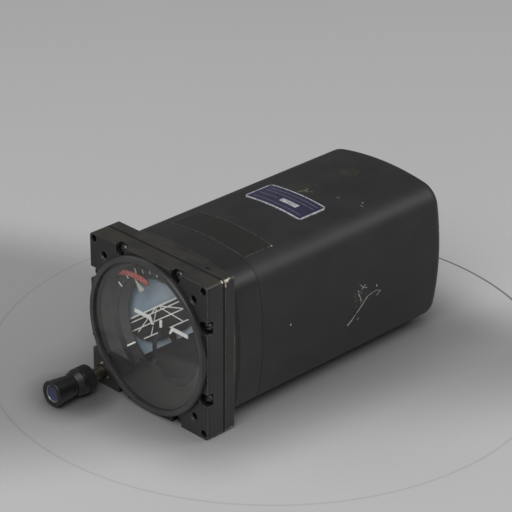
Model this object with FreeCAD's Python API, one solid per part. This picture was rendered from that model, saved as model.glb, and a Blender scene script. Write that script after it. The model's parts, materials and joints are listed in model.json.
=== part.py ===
# Artificial horizon: a square-fronted panel gyro instrument with a long rounded case.
# Frame: x to the right seen from the front, y backwards, z up. The origin is the centre of
# the front face of the square plate, where the instrument meets its panel.
import FreeCAD
import Part
import math
import os

V = FreeCAD.Vector

# Cuts run past their material by this much
OVERRUN = 1.0

# Clearances
SEAT_GAP = 0.05
RUNNING_GAP = 0.05
GUIDE_GAP = 0.2
MOVING_GAP = 0.5

# Square front plate
PLATE_SIDE = 83.0
PLATE_CORNER_R = 2.2
PLATE_DEPTH = 10.6
PLATE_LEDGE = 0.55
CORNER_HOLE_INSET = 2.9
CORNER_HOLE_R = 1.95
PANEL_HOLE_INSET = 9.75
PANEL_HOLE_R = 1.7
PANEL_HOLE_DEPTH = 7.0
COUNTERSINK_R = 2.5
COUNTERSINK_DEPTH = 0.8

# Screws of the front plate, in open notches
SCREW_PLACE = 19.5
SCREW_INSET = 2.7
NOTCH_WIDTH = 6.6
NOTCH_DEPTH = 4.0
SCREW_HEAD_R = 2.35
SCREW_HEAD_HEIGHT = 2.6
SCREW_SHANK_R = 1.4
SCREW_REACH = 10.5
SLOT_WIDTH = 0.6
SLOT_DEPTH = 0.9
SLOT_ANGLES = [-58.0, 34.0, 19.0, 63.0, -19.0, -72.0, 58.0, 12.0]
# Outline of the domed head, as shares of its radius and of its height
SCREW_DOME_SHARES = [(0.0, 0.0), (0.5, 0.083), (0.85, 0.25), (1.0, 0.5), (1.0, 1.0), (0.0, 1.0)]

# Joint gasket, rear flange and its collar
GASKET_THICK = 0.35
FLANGE_DEPTH = 6.6
FLANGE_SLOT_INSET = 15.0
FLANGE_SLOT_PLACE = 3.15
FLANGE_SLOT_LENGTH = 3.0
FLANGE_SLOT_WIDTH = 1.4
FLANGE_SLOT_DEPTH = 0.8
COLLAR_DEPTH = 4.0
COLLAR_PROUD = 0.45
SPIGOT_REACH = 7.0
SPIGOT_WALL = 1.4

# Case section: four bowed sides that run into rounded corners
CASE_INSET = 0.2
CASE_DROP = 0.2
CASE_SIDE_R = 150.0
CASE_CORNER_R = 13.4
CASE_WALL = 1.0
BAND_LENGTH = 15.4
BAND_SEAM = 0.2
CASE_REAR_R = 5.5
REAR_ROOM = 7.85
SLEEVE_LENGTH = 12.0
SLEEVE_WALL = 1.2

# Bezel ring and glass
RING_INSET = 0.3
RING_WIDTH = 3.5
RING_PROUD = 2.4
RING_CHAMFER = 0.7
RING_LIP = 1.3
RING_REBATE = 0.5
GLASS_LAP = 0.9
GLASS_CLEAR = 0.4
GLASS_THICK = 1.6
GLASS_GASKET_THICK = 0.4

# Apron plate behind the glass
APRON_THICK = 0.7
APRON_EDGE = 0.1
APRON_HEIGHT = 15.5
APRON_TAB_HEIGHT = 5.5
APRON_TAB_HALF = 8.0
APRON_TAB_R = 1.5

# Dial shroud: lip, sloping wall and flat ring with the bank scale
SHROUD_LIP_THICK = 0.7
SHROUD_INSET = 1.2
SHROUD_SLOPE = 3.5
SHROUD_FACE_Y = 6.3
SHROUD_WALL = 0.7
SCALE_WIDTH = 3.6
FLAG_SLOT_START_ANGLE = 101.0
FLAG_SLOT_END_ANGLE = 147.0
LEVER_SLOT_START_ANGLE = 230.0
LEVER_SLOT_END_ANGLE = 262.0
MARK_THICK = 0.12
MARK_MARGIN = 0.2
MARK_LENGTH = 3.1
MARK_WIDTH = 1.0
MARK_DOT_R = 0.9
MARK_ANGLES = [10.0, 20.0, 30.0, 45.0, 60.0]
MARK_LENGTH_SHARES = [0.62, 0.62, 1.0, 1.0, 1.0]
MARK_WIDTH_SHARES = [0.55, 0.55, 0.8, 0.7, 1.0]

# Attitude shown: the bank of the dial, and how far horizon and symbol stand above its middle
BANK_ANGLE = 37.0
HORIZON_RISE = 11.5
SYMBOL_RISE = 3.5

# Roll mask: rim, cone and D-shaped window
MASK_RIM_Y = 6.5
MASK_WINDOW_Y = 9.5
MASK_BACK_Y = 7.5
MASK_SLOPE = 3.4
MASK_BRIM = 5.3
MASK_THICK = 0.6
MASK_CHORD = 7.5
INDEX_WIDTH = 0.9
INDEX_THICK = 0.12

# Bank pointer
POINTER_INSET = 0.6
POINTER_LENGTH = 7.5
POINTER_TIP_Y = 6.5
POINTER_BASE_Y = 7.4
POINTER_WIDTH = 4.3
POINTER_THICK = 0.5
POINTER_FOOT = 1.6

# Horizon cards
SKY_Y = 13.8
SKY_THICK = 0.6
SKY_MARGIN = 0.4
SKY_OVERLAP = 0.8
SKY_TAB_HALF = 4.0
GROUND_Y = 12.0
GROUND_THICK = 0.5
GROUND_LAP = 0.5
GROUND_BULGE = 2.8
GROUND_HEIGHT = 16.4
GROUND_TILT_ANGLE = -1.0
# Right half of the card's edge below its top corner, as shares of its half width and of its height
GROUND_EDGE_SHARES = [(1.0, 0.34), (0.92, 0.56), (0.79, 0.74), (0.62, 0.89), (0.42, 0.975), (0.19, 1.0)]
LINE_THICK = 0.12
HORIZON_LINE = 0.9
CARD_LINE = 0.65
CARD_LINE_DROPS = [2.45, 6.5]
CARD_LINE_INSETS = [1.8, 0.6]
LAST_LINE_DROP = 12.2
LAST_LINE_INSET = 7.4
LAST_LINE_INNER = 8.4
LAST_LINE_GAP = 2.0
RAY_WIDTH = 0.6
RAY_START = 2.0
RAY_ANGLES = [19.0, 40.0]
RAY_LENGTHS = [24.5, 18.5]

# Roll gimbal: a U frame carried by its rear disc
ROLL_MARGIN = 1.0
GIMBAL_RING_WALL = 2.4
GIMBAL_RING_DEPTH = 2.6
GIMBAL_ARM_THICK = 2.6
GIMBAL_ARM_HALF = 7.0
GIMBAL_DISC_Y = 97.0
GIMBAL_DISC_THICK = 4.0
PITCH_SETBACK = 37.0
PITCH_BEARING_R = 4.0
TRUNNION_R = 2.0

# Roll shaft and its two bearings
SHAFT_R = 6.0
SHAFT_BORE_R = 3.5
SHAFT_TAIL = 0.3
SHAFT_FLANGE_THICK = 2.0
BEARING_INNER_R = 8.0
BEARING_BALL_R = 1.2
BEARING_OUTER_R = 13.0
BEARING_WIDTH = 5.0
BEARING_BALLS = 10
BEARING_CLEAR = 3.0
BEARING_SPACING = 18.0
SLIP_RINGS = 6
SLIP_RING_R = 7.4
SLIP_RING_WIDTH = 1.2
SLIP_RING_PITCH = 2.2
SLIP_RING_CLEAR = 1.5

# Brush block above the slip rings
BRUSH_BLOCK_WIDTH = 12.0
BRUSH_BLOCK_FOOT = 9.0
BRUSH_BLOCK_HEIGHT = 6.0
BRUSH_R = 0.6

# Chassis rods, spacers and plates
ROD_INSET = 11.0
ROD_R = 1.6
ROD_STUB = 2.0
SPACER_R = 3.0
PLATE_MARGIN = 0.6
BOARD_MARGIN = 1.2
BOARD_CLEAR = 3.0
BOARD_THICK = 1.6
NUT_R = 3.2
NUT_THICK = 2.4
BOARD_PART_R = 24.0
CAPACITOR_R = 4.0
CAPACITOR_LENGTH = 14.0
CAPACITOR_ANGLES = [20.0, 160.0, 250.0]
TRANSFORMER_SIDE = 14.0
TRANSFORMER_DEPTH = 11.0

# Gyro: housing, cover, stator, rotor and trunnions
HOUSING_CLEAR = 5.5
HOUSING_HALF = 15.0
HOUSING_WALL = 1.2
COVER_DEPTH = 6.0
ROTOR_CLEAR = 1.8
ROTOR_HALF = 7.5
ROTOR_BORE_SHARE = 0.667
ROTOR_WEB = 3.0
ROTOR_SHAFT_R = 1.5
STATOR_CLEAR = 1.5
STATOR_BORE_R = 3.0
STATOR_DEPTH = 8.5
ROTOR_BEARING_R = 2.7
ROTOR_BEARING_WIDTH = 2.4
TRUNNION_FLANGE_R = 4.5
TRUNNION_FLANGE_THICK = 1.5
DRIVE_PIN_R = 0.8
DRIVE_PIN_PLACE = 6.6
DRIVE_SLOT_GAP = 0.6
PITCH_RATIO = 0.25

# Horizon arm: two side plates, a yoke and a tongue under the sky card
ARM_SETBACK = 4.0
ARM_CLEAR = 4.4
ARM_THICK = 1.2
ARM_PIVOT_R = 1.2
ARM_BOSS_R = 3.2
ARM_HEIGHT = 4.0
ARM_YOKE_CLEAR = 16.0
ARM_TONGUE_LENGTH = 11.5
ARM_TONGUE_HALF = 3.0
ARM_TONGUE_THICK = 1.0
ARM_DROP = 10.2
STEM_HALF = 2.0
STEM_THICK = 0.6
STEM_RISE = 7.0
# Side plate outline from the pivot, along and up, as shares of the distance to the yoke
ARM_OUTLINE_SHARES = [
    (-1.0, -0.208), (-1.0, -0.127), (-0.673, -0.074), (-0.600, -0.066), (-0.600, 0.122),
    (-0.430, 0.122), (0.0, 0.062), (0.0, -0.062), (-0.673, -0.150)]

# Aircraft symbol on its stem
SYMBOL_Y = 8.1
SYMBOL_THICK = 0.6
SYMBOL_MARGIN = 6.4
SYMBOL_HEIGHT = 1.9
SYMBOL_BEND = 8.1
SYMBOL_LEG_FOOT = 6.5
SYMBOL_LEG_DROP = 3.4
DOT_R = 0.75
DOT_LENGTH = 3.4
DOT_Y = 8.2
STRIP_WIDTH = 2.5
STRIP_THICK = 0.6
STRIP_Y = 2.1
STRIP_UPPER_Y = 3.6
STRIP_TOP_Y = 7.5
YOKE_WIRE_R = 0.3
LEVER_PIN_R = 0.8

# Heights of the stem, its pin and its guide above the lower edge of the shroud's mouth
STRIP_FOOT_RISE = 7.5
LEVER_PIN_RISE = 12.5
STRIP_BEND_RISE = 19.9
STRIP_BEND_HEIGHT = 2.0
STRIP_LEAN_RISE = 31.2
STRIP_STAND_RISE = 34.7
STRIP_TOP_DROP = 1.9
GUIDE_FOOT_RISE = 5.5
GUIDE_TOP_RISE = 14.0
GUIDE_RAIL = 1.5
GUIDE_LIP_THICK = 0.4

# Knob on the lower left corner
KNOB_INSET_X = 6.0
KNOB_INSET_Z = 7.05
KNOB_SHAFT_R = 3.1
KNOB_COLLAR_R = 7.1
KNOB_STANDOFF = 8.8
KNOB_COLLAR_LENGTH = 8.0
KNOB_CONE_LENGTH = 3.0
KNOB_CAP_R = 5.5
KNOB_CAP_FRONT_R = 6.85
KNOB_CAP_LENGTH = 13.0
KNOB_RECESS_R = 4.6
KNOB_RECESS_DEPTH = 1.5
KNOB_DISC_THICK = 0.6
KNOB_RIM_WIDTH = 0.45
KNOB_RIM_RISE = 0.35
KNOB_EDGE = 0.4
GRUB_PLACE = 2.8
GRUB_ANGLE = 8.0
GRUB_R = 1.1
GRUB_LENGTH = 1.6
GRUB_DEPTH = 1.9
GRUB_SLOT = 0.4
BUSH_WALL = 0.9
BUSH_DEPTH = 2.9
SHAFT_FLAT = 2.4
JOURNAL_R = 2.0
JOURNAL_END_Y = 17.0
SHOULDER_Y = 12.6
RIVET_R = 2.7
RIVET_THICK = 0.7

# Height lever keyed on the knob shaft
LEVER_Y = 4.9
LEVER_THICK = 0.8
LEVER_HALF = 1.2
LEVER_HUB_R = 4.6
LEVER_POCKET_GAP = 0.3
LEVER_END_GAP = 1.1
LEVER_SLOT_GAP = 0.35
LEVER_DOWN_ANGLE = 9.0
LEVER_UP_ANGLE = 3.0

# Caging fork and rod, pulled forward by the knob
FORK_THICK = 1.3
FORK_HALF = 1.3
FORK_EYE_R = 3.2
CAGING_PULL = 4.5
CAGING_SHIFT = 0.2
CAGING_RISE = 10.5
CAGING_ROD_R = 1.3
CAGING_EYE_R = 2.2
CAGING_TAIL = 4.0

# Flag on its pivot, and the coil that turns it
FLAG_OUTSET = 0.1
FLAG_WIDTH = 3.0
FLAG_Y = 4.95
FLAG_THICK = 0.5
FLAG_PIVOT_ANGLE = 142.9
FLAG_TIP_ANGLE = 105.0
FLAG_SWING_ANGLE = 29.0
FLAG_HUB_R = 1.6
FLAG_PIN_R = 0.7
FLAG_PIN_PROUD = 0.4
FLAG_COIL_R = 1.7
FLAG_COIL_LENGTH = 5.0
FLAG_TAB_GAP = 0.15
FLAG_TAB_HALF_ANGLE = 5.0

# Data plate and plug on top of the can
DATA_PLATE_LEFT = 20.5
DATA_PLATE_RIGHT = 19.0
DATA_PLATE_SETBACK = 47.05
DATA_PLATE_LENGTH = 19.5
DATA_PLATE_CORNER_R = 2.5
DATA_PLATE_THICK = 0.5
PLUG_LEFT = 1.0
PLUG_INSET = 27.45
PLUG_R = 5.5
PLUG_PROUD = 0.15
PLUG_THICK = 1.6

# Rear connector
CONNECTOR_R = 9.6
CONNECTOR_NECK = 0.4
CONNECTOR_WALL = 1.0
CONNECTOR_FLANGE = 25.0
CONNECTOR_FLANGE_R = 2.0
CONNECTOR_FLANGE_THICK = 2.0
CONNECTOR_PROUD = 12.0
CONNECTOR_INSIDE = 9.0
CONNECTOR_HOLE_INSET = 3.0
CONNECTOR_SCREW_R = 1.3
CONNECTOR_SCREW_LENGTH = 5.0
CONNECTOR_HEAD_R = 2.3
CONNECTOR_HEAD_HEIGHT = 1.6
INSERT_SETBACK = 4.0
INSERT_LENGTH = 14.0
PIN_R = 0.6
PIN_PROUD = 3.0
PIN_TAIL = 3.0
PIN_RING_R = 5.6
PIN_RING_COUNT = 10
PIN_INNER_R = 2.2
PIN_INNER_COUNT = 3

# Widths worked out inwards from the square plate
PLATE_HALF = PLATE_SIDE / 2
CORNER_HOLE_PLACE = PLATE_HALF - CORNER_HOLE_INSET
PANEL_HOLE_PLACE = PLATE_HALF - PANEL_HOLE_INSET
SCREW_OFFSET = PLATE_HALF - SCREW_INSET
CASE_HALF = PLATE_HALF - CASE_INSET
RING_R = PLATE_HALF - RING_INSET
RING_OPENING_R = RING_R - RING_WIDTH
GLASS_R = RING_OPENING_R + GLASS_LAP
PLATE_STEP_R = GLASS_R + GLASS_CLEAR
PLATE_BORE_R = PLATE_STEP_R - PLATE_LEDGE
SHROUD_MOUTH_R = RING_OPENING_R - SHROUD_INSET
SHROUD_FOOT_R = SHROUD_MOUTH_R - SHROUD_SLOPE
SHROUD_BORE_R = SHROUD_FOOT_R - SCALE_WIDTH
APRON_BORE_R = SHROUD_MOUTH_R - APRON_EDGE
APRON_DROP = SHROUD_MOUTH_R - APRON_HEIGHT
MARK_INNER_R = SHROUD_BORE_R + MARK_MARGIN
MASK_RIM_R = SHROUD_BORE_R - MOVING_GAP
MASK_WINDOW_R = MASK_RIM_R - MASK_SLOPE
POINTER_TIP_R = MASK_RIM_R - POINTER_INSET
POINTER_BASE_R = POINTER_TIP_R - POINTER_LENGTH
GROUND_TOP_HALF = MASK_WINDOW_R + GROUND_LAP
GROUND_SIDE_HALF = GROUND_TOP_HALF + GROUND_BULGE
SYMBOL_HALF = MASK_WINDOW_R - SYMBOL_MARGIN
ROLL_R = MASK_RIM_R + MASK_BRIM
GIMBAL_RING_R = ROLL_R - GIMBAL_RING_WALL
GIMBAL_ARM_INNER = ROLL_R - ROLL_MARGIN - GIMBAL_ARM_THICK
SKY_R = GIMBAL_ARM_INNER - SKY_MARGIN
ARM_INNER = GIMBAL_ARM_INNER - ARM_CLEAR - ARM_THICK
HOUSING_R = ARM_INNER - HOUSING_CLEAR
ROTOR_R = HOUSING_R - HOUSING_WALL - ROTOR_CLEAR
ROTOR_BORE_R = ROTOR_R * ROTOR_BORE_SHARE
STATOR_R = ROTOR_BORE_R - STATOR_CLEAR
ROD_PLACE = PLATE_HALF - ROD_INSET
FLAG_R = SHROUD_MOUTH_R + FLAG_OUTSET
KNOB_X = KNOB_INSET_X - PLATE_HALF
KNOB_Z = KNOB_INSET_Z - PLATE_HALF
CAGING_X = KNOB_X + CAGING_SHIFT
CAGING_Z = KNOB_Z + CAGING_RISE

# Depths worked out from the front backwards
GLASS_FRONT_Y = RING_LIP - RING_PROUD
GLASS_BACK_Y = GLASS_FRONT_Y + GLASS_THICK
APRON_Y = GLASS_BACK_Y + GLASS_GASKET_THICK
APRON_BACK_Y = APRON_Y + APRON_THICK
LIP_BACK_Y = APRON_BACK_Y + SHROUD_LIP_THICK
SHROUD_BACK_Y = SHROUD_FACE_Y + SHROUD_WALL
MASK_REAR_Y = MASK_BACK_Y + MASK_THICK
RING_REAR_Y = MASK_REAR_Y + GIMBAL_RING_DEPTH
FLANGE_Y = PLATE_DEPTH + GASKET_THICK
FLANGE_BACK_Y = FLANGE_Y + FLANGE_DEPTH
BAND_Y = FLANGE_BACK_Y + COLLAR_DEPTH
CASE_Y = BAND_Y + BAND_LENGTH
PITCH_Y = GIMBAL_DISC_Y - PITCH_SETBACK
ARM_PIVOT_Y = GIMBAL_DISC_Y - ARM_SETBACK
ARM_YOKE_Y = PITCH_Y - ARM_YOKE_CLEAR
ARM_TONGUE_Y = GROUND_Y + GROUND_THICK + ARM_TONGUE_LENGTH
FRONT_BEARING_Y = GIMBAL_DISC_Y + GIMBAL_DISC_THICK + BEARING_CLEAR
REAR_BEARING_Y = FRONT_BEARING_Y + BEARING_SPACING
SLIP_RING_Y = REAR_BEARING_Y + BEARING_WIDTH + SLIP_RING_CLEAR
SHAFT_END_Y = SLIP_RING_Y + SLIP_RING_PITCH * SLIP_RINGS + SHAFT_TAIL
BOARD_Y = SHAFT_END_Y + BOARD_CLEAR
BOARD_BACK_Y = BOARD_Y + BOARD_THICK
CASE_REAR_Y = BOARD_BACK_Y + CAPACITOR_LENGTH + REAR_ROOM
DATA_PLATE_Y = CASE_Y + DATA_PLATE_SETBACK
PLUG_Y = CASE_REAR_Y - PLUG_INSET
CAGING_END_Y = FRONT_BEARING_Y + BEARING_WIDTH + CAGING_TAIL
GRUB_Y = -KNOB_STANDOFF - KNOB_COLLAR_LENGTH - KNOB_CONE_LENGTH - GRUB_PLACE

# Angles and places of the moving pieces as shown
ARM_REACH = ARM_PIVOT_Y - GROUND_Y
ARM_REST_ANGLE = math.degrees(math.asin(HORIZON_RISE / ARM_REACH))
PITCH_REST_ANGLE = ARM_REST_ANGLE / PITCH_RATIO
LEVER_PIN_Z = LEVER_PIN_RISE - SHROUD_MOUTH_R
LEVER_ANGLE = math.degrees(math.atan2(LEVER_PIN_Z - KNOB_Z, -KNOB_X))
LEVER_LENGTH = math.hypot(KNOB_X, LEVER_PIN_Z - KNOB_Z)
FLAG_PIVOT_X = FLAG_R * math.cos(math.radians(FLAG_PIVOT_ANGLE))
FLAG_PIVOT_Z = FLAG_R * math.sin(math.radians(FLAG_PIVOT_ANGLE))


def cylinder(radius, y0, y1, x=0, z=0):
    """Round bar along Y."""
    return Part.makeCylinder(radius, y1 - y0, V(x, y0, z), V(0, 1, 0))


def tube(outer, inner, y0, y1, x=0, z=0):
    """Round bar along Y with a bore."""
    bore = cylinder(inner, y0 - OVERRUN, y1 + OVERRUN, x, z)
    return cylinder(outer, y0, y1, x, z).cut(bore)


def cross_bar(radius, x0, x1, y, z):
    """Round bar along X."""
    return Part.makeCylinder(radius, x1 - x0, V(x0, y, z), V(1, 0, 0))


def box(x0, x1, y0, y1, z0, z1):
    """Block between two corners."""
    return Part.makeBox(x1 - x0, y1 - y0, z1 - z0, V(x0, y0, z0))


def polygon(points):
    """Flat face with straight sides."""
    return Part.Face(Part.makePolygon(points + [points[0]]))


def front_prism(outline, y0, y1):
    """Outline of (x, z) points, extruded along Y."""
    face = polygon([V(x, y0, z) for x, z in outline])
    return face.extrude(V(0, y1 - y0, 0))


def side_prism(outline, x0, x1):
    """Outline of (y, z) points, extruded along X."""
    face = polygon([V(x0, y, z) for y, z in outline])
    return face.extrude(V(x1 - x0, 0, 0))


def plan_prism(outline, z0, z1):
    """Outline of (x, y) points, extruded along Z."""
    face = polygon([V(x, y, z0) for x, y in outline])
    return face.extrude(V(0, 0, z1 - z0))


def turned(outline, angle=360.0):
    """Outline of (radius, y) points, turned about the Y axis."""
    face = polygon([V(r, y, 0) for r, y in outline])
    return face.revolve(V(0, 0, 0), V(0, 1, 0), angle)


def spun(shape, degrees, x=0, z=0):
    """Copy turned about an axis along Y, counter-clockwise seen from the front."""
    copy = shape.copy()
    copy.rotate(V(x, 0, z), V(0, 1, 0), -degrees)
    return copy


def tipped(shape, degrees, y, z=0):
    """Copy turned about an axis along X, +Y towards +Z."""
    copy = shape.copy()
    copy.rotate(V(0, y, z), V(1, 0, 0), degrees)
    return copy


def moved(shape, x, y, z):
    """Copy shifted in space."""
    copy = shape.copy()
    copy.translate(V(x, y, z))
    return copy


def mirrored(shape):
    """Copy mirrored left to right."""
    return shape.mirror(V(0, 0, 0), V(1, 0, 0))


def banked(shape):
    """Copy of a dial piece, turned to the bank that is shown."""
    return spun(shape, BANK_ANGLE)


def polar(radius, degrees):
    """Point (x, z) on a circle, counter-clockwise seen from the front."""
    angle = math.radians(degrees)
    return radius * math.cos(angle), radius * math.sin(angle)


def fused(shapes):
    """Pieces joined into one solid."""
    whole = shapes[0]
    for shape in shapes[1:]:
        whole = whole.fuse(shape)
    return whole.removeSplitter()


def without(shape, tools):
    """Shape with every tool cut from it."""
    for tool in tools:
        shape = shape.cut(tool)
    return shape


def save(name, shape):
    """Write one named piece, or a group of like pieces, as its own file."""
    shape.exportStep("parts/" + name + ".step")
    print(name, len(shape.Solids), shape.isValid())


def rounded_block(half_x, half_z, radius, y0, y1):
    """Block centred on the axis, with its four long edges rounded."""
    block = box(-half_x, half_x, y0, y1, -half_z, half_z)
    edges = [edge for edge in block.Edges if abs(edge.tangentAt(edge.FirstParameter).y) > 0.5]
    return block.makeFillet(radius, edges)


def square_block(inset, y0, y1):
    """Square of the front plate with rounded corners, drawn in by the inset."""
    half = PLATE_HALF - inset
    return rounded_block(half, half, PLATE_CORNER_R, y0, y1)


def case_face(inset, y):
    """Case section at one depth, drawn in from the outer face by the inset."""
    reach = CASE_SIDE_R - CASE_HALF
    span = CASE_SIDE_R - CASE_CORNER_R
    centre = (math.sqrt(2 * span ** 2 - reach ** 2) - reach) / 2
    side_r = CASE_SIDE_R - inset
    corner_r = CASE_CORNER_R - inset
    lean_x = centre / span * side_r
    lean_z = (centre + reach) / span * side_r - reach
    corner = centre + corner_r * math.cos(math.radians(45.0))
    edges = []
    for quarter in range(4):
        turn = math.radians(-90.0 * quarter)

        def at(x, z):
            turned_x = x * math.cos(turn) - z * math.sin(turn)
            turned_z = x * math.sin(turn) + z * math.cos(turn)
            return V(turned_x, y, turned_z - CASE_DROP)

        edges.append(Part.Arc(at(lean_x, lean_z), at(corner, corner), at(lean_z, lean_x)).toShape())
        side = Part.Arc(at(lean_z, lean_x), at(CASE_HALF - inset, 0), at(lean_z, -lean_x))
        edges.append(side.toShape())
    return Part.Face(Part.Wire(edges))


def case_prism(inset, y0, y1):
    """Solid block of the case section."""
    return case_face(inset, y0).extrude(V(0, y1 - y0, 0))


def case_tube(outer_inset, wall, y0, y1):
    """Hollow sleeve of the case section."""
    bore = case_prism(outer_inset + wall, y0 - OVERRUN, y1 + OVERRUN)
    return case_prism(outer_inset, y0, y1).cut(bore)


# Front plate, flange, gaskets and screws

def corner_places(place):
    """The three corners that have holes; the fourth carries the knob."""
    return [(-place, place), (place, place), (place, -place)]


def screw_places():
    """Centres of the eight plate screws, with the direction of the nearest side."""
    places = []
    for along in (-SCREW_PLACE, SCREW_PLACE):
        for side in (-1, 1):
            places.append((along, side * SCREW_OFFSET, 0, side))
            places.append((side * SCREW_OFFSET, along, side, 0))
    return places


def notch(x, z, out_x, out_z):
    """Open notch for one screw head: a round seat that runs out through the side."""
    half = NOTCH_WIDTH / 2
    reach = SCREW_INSET + OVERRUN
    seat = cylinder(half, -OVERRUN, NOTCH_DEPTH, x, z)
    low_x = min(x, x + out_x * reach) - half * abs(out_z)
    high_x = max(x, x + out_x * reach) + half * abs(out_z)
    low_z = min(z, z + out_z * reach) - half * abs(out_x)
    high_z = max(z, z + out_z * reach) + half * abs(out_x)
    return seat.fuse(box(low_x, high_x, -OVERRUN, NOTCH_DEPTH, low_z, high_z))


def lever_pocket():
    """Room in the plate for the height lever's swing, from the knob shaft to the bore."""
    half = LEVER_HALF + LEVER_POCKET_GAP
    y0 = LEVER_Y - LEVER_POCKET_GAP
    y1 = LEVER_Y + LEVER_THICK + LEVER_POCKET_GAP
    swing = [cylinder(LEVER_HUB_R + LEVER_POCKET_GAP, y0, y1)]
    wedge = [(0, 0)]
    for degrees in (LEVER_ANGLE - LEVER_DOWN_ANGLE, LEVER_ANGLE, LEVER_ANGLE + LEVER_UP_ANGLE):
        swing.append(spun(box(0, LEVER_LENGTH, y0, y1, -half, half), degrees))
        wedge.append(polar(LEVER_LENGTH, degrees))
    swing.append(front_prism(wedge, y0, y1))
    return moved(fused(swing), KNOB_X, 0, KNOB_Z)


def fork_shape(gap, y0, y1):
    """Strip between two round eyes, from the knob shaft to the caging rod, widened by a gap."""
    half = FORK_HALF + gap
    strip = front_prism([(KNOB_X - half, KNOB_Z), (KNOB_X + half, KNOB_Z), (CAGING_X + half, CAGING_Z),
                         (CAGING_X - half, CAGING_Z)], y0, y1)
    shaft_eye = cylinder(FORK_EYE_R + gap, y0, y1, KNOB_X, KNOB_Z)
    rod_eye = cylinder(CAGING_EYE_R + gap, y0, y1, CAGING_X, CAGING_Z)
    return fused([strip, shaft_eye, rod_eye])


def front_frame():
    """Square plate with its bore, glass seat, notches, holes and lever pocket."""
    plate = square_block(0, 0, PLATE_DEPTH)
    cuts = [cylinder(PLATE_BORE_R, -OVERRUN, PLATE_DEPTH + OVERRUN)]
    cuts.append(cylinder(PLATE_STEP_R, -OVERRUN, LIP_BACK_Y))
    for place in screw_places():
        cuts.append(notch(*place))
        cuts.append(cylinder(SCREW_SHANK_R + SEAT_GAP, 0, PLATE_DEPTH + OVERRUN, place[0], place[1]))
    for x, z in corner_places(CORNER_HOLE_PLACE):
        cuts.append(cylinder(CORNER_HOLE_R, -OVERRUN, PLATE_DEPTH + OVERRUN, x, z))
    for x, z in corner_places(PANEL_HOLE_PLACE):
        cuts.append(cylinder(PANEL_HOLE_R, -OVERRUN, PANEL_HOLE_DEPTH, x, z))
        sink = Part.makeCone(COUNTERSINK_R, PANEL_HOLE_R, COUNTERSINK_DEPTH, V(x, 0, z), V(0, 1, 0))
        cuts.append(sink)
    for x, z in rod_places():
        cuts.append(cylinder(ROD_R + SEAT_GAP, PLATE_DEPTH - ROD_STUB, PLATE_DEPTH + OVERRUN, x, z))
    cuts.append(cylinder(KNOB_SHAFT_R + BUSH_WALL + SEAT_GAP, -OVERRUN, BUSH_DEPTH, KNOB_X, KNOB_Z))
    cuts.append(cylinder(KNOB_SHAFT_R + RUNNING_GAP, 0, PLATE_DEPTH + OVERRUN, KNOB_X, KNOB_Z))
    cuts.append(lever_pocket())
    fork_front = SHOULDER_Y - CAGING_PULL - MOVING_GAP
    cuts.append(fork_shape(MOVING_GAP, fork_front, PLATE_DEPTH + OVERRUN))
    return without(plate, cuts)


def joint_gasket():
    """Thin gasket between the plate and the flange."""
    sheet = square_block(GASKET_THICK, PLATE_DEPTH, FLANGE_Y)
    return without(sheet, flange_holes(PLATE_DEPTH, FLANGE_Y))


def flange_holes(y0, y1):
    """Inner opening and holes shared by the gasket and the flange."""
    cuts = [case_prism(CASE_WALL + SEAT_GAP + SPIGOT_WALL, y0 - OVERRUN, y1 + OVERRUN)]
    for place in screw_places():
        x, z = place[0], place[1]
        cuts.append(cylinder(SCREW_SHANK_R + SEAT_GAP, y0 - OVERRUN, screw_end() + SEAT_GAP, x, z))
    for x, z in corner_places(CORNER_HOLE_PLACE):
        cuts.append(cylinder(CORNER_HOLE_R, y0 - OVERRUN, FLANGE_BACK_Y + OVERRUN, x, z))
    for x, z in rod_places():
        cuts.append(cylinder(SPACER_R + SEAT_GAP, y0 - OVERRUN, y1 + OVERRUN, x, z))
    fork_rear = min(y1, SHOULDER_Y + FORK_THICK) + MOVING_GAP + RIVET_THICK
    cuts.append(fork_shape(MOVING_GAP, y0 - OVERRUN, fork_rear))
    cuts.append(cylinder(JOURNAL_R + RUNNING_GAP, y0 - OVERRUN, JOURNAL_END_Y + SEAT_GAP, KNOB_X, KNOB_Z))
    return cuts


def screw_end():
    """Depth that the plate screws reach."""
    return NOTCH_DEPTH + SCREW_REACH


def top_slot():
    """Shallow slot in the flange's top, right of the middle."""
    x = PLATE_HALF - FLANGE_SLOT_INSET
    y = FLANGE_Y + FLANGE_SLOT_PLACE
    slot = box(x - FLANGE_SLOT_LENGTH / 2, x + FLANGE_SLOT_LENGTH / 2, y - FLANGE_SLOT_WIDTH / 2,
               y + FLANGE_SLOT_WIDTH / 2, PLATE_HALF - FLANGE_SLOT_DEPTH, PLATE_HALF + OVERRUN)
    uprights = [edge for edge in slot.Edges if abs(edge.tangentAt(edge.FirstParameter).z) > 0.5]
    return slot.makeFillet(FLANGE_SLOT_WIDTH / 3, uprights)


def rear_flange():
    """Square flange, collar and the spigot that the case sleeves sit on."""
    square = square_block(0, FLANGE_Y, FLANGE_BACK_Y).cut(top_slot())
    trim = square_block(0, FLANGE_Y - OVERRUN, BAND_Y + OVERRUN)
    collar = case_prism(-COLLAR_PROUD, FLANGE_Y, BAND_Y).common(trim)
    outer = CASE_WALL + SEAT_GAP
    end = BAND_Y + SPIGOT_REACH
    solid = fused([square, collar, case_prism(outer, FLANGE_Y, end)])
    inside = case_prism(outer + SPIGOT_WALL, FLANGE_Y - OVERRUN, end + OVERRUN)
    return without(solid, [inside] + flange_holes(FLANGE_Y, FLANGE_BACK_Y))


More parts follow.
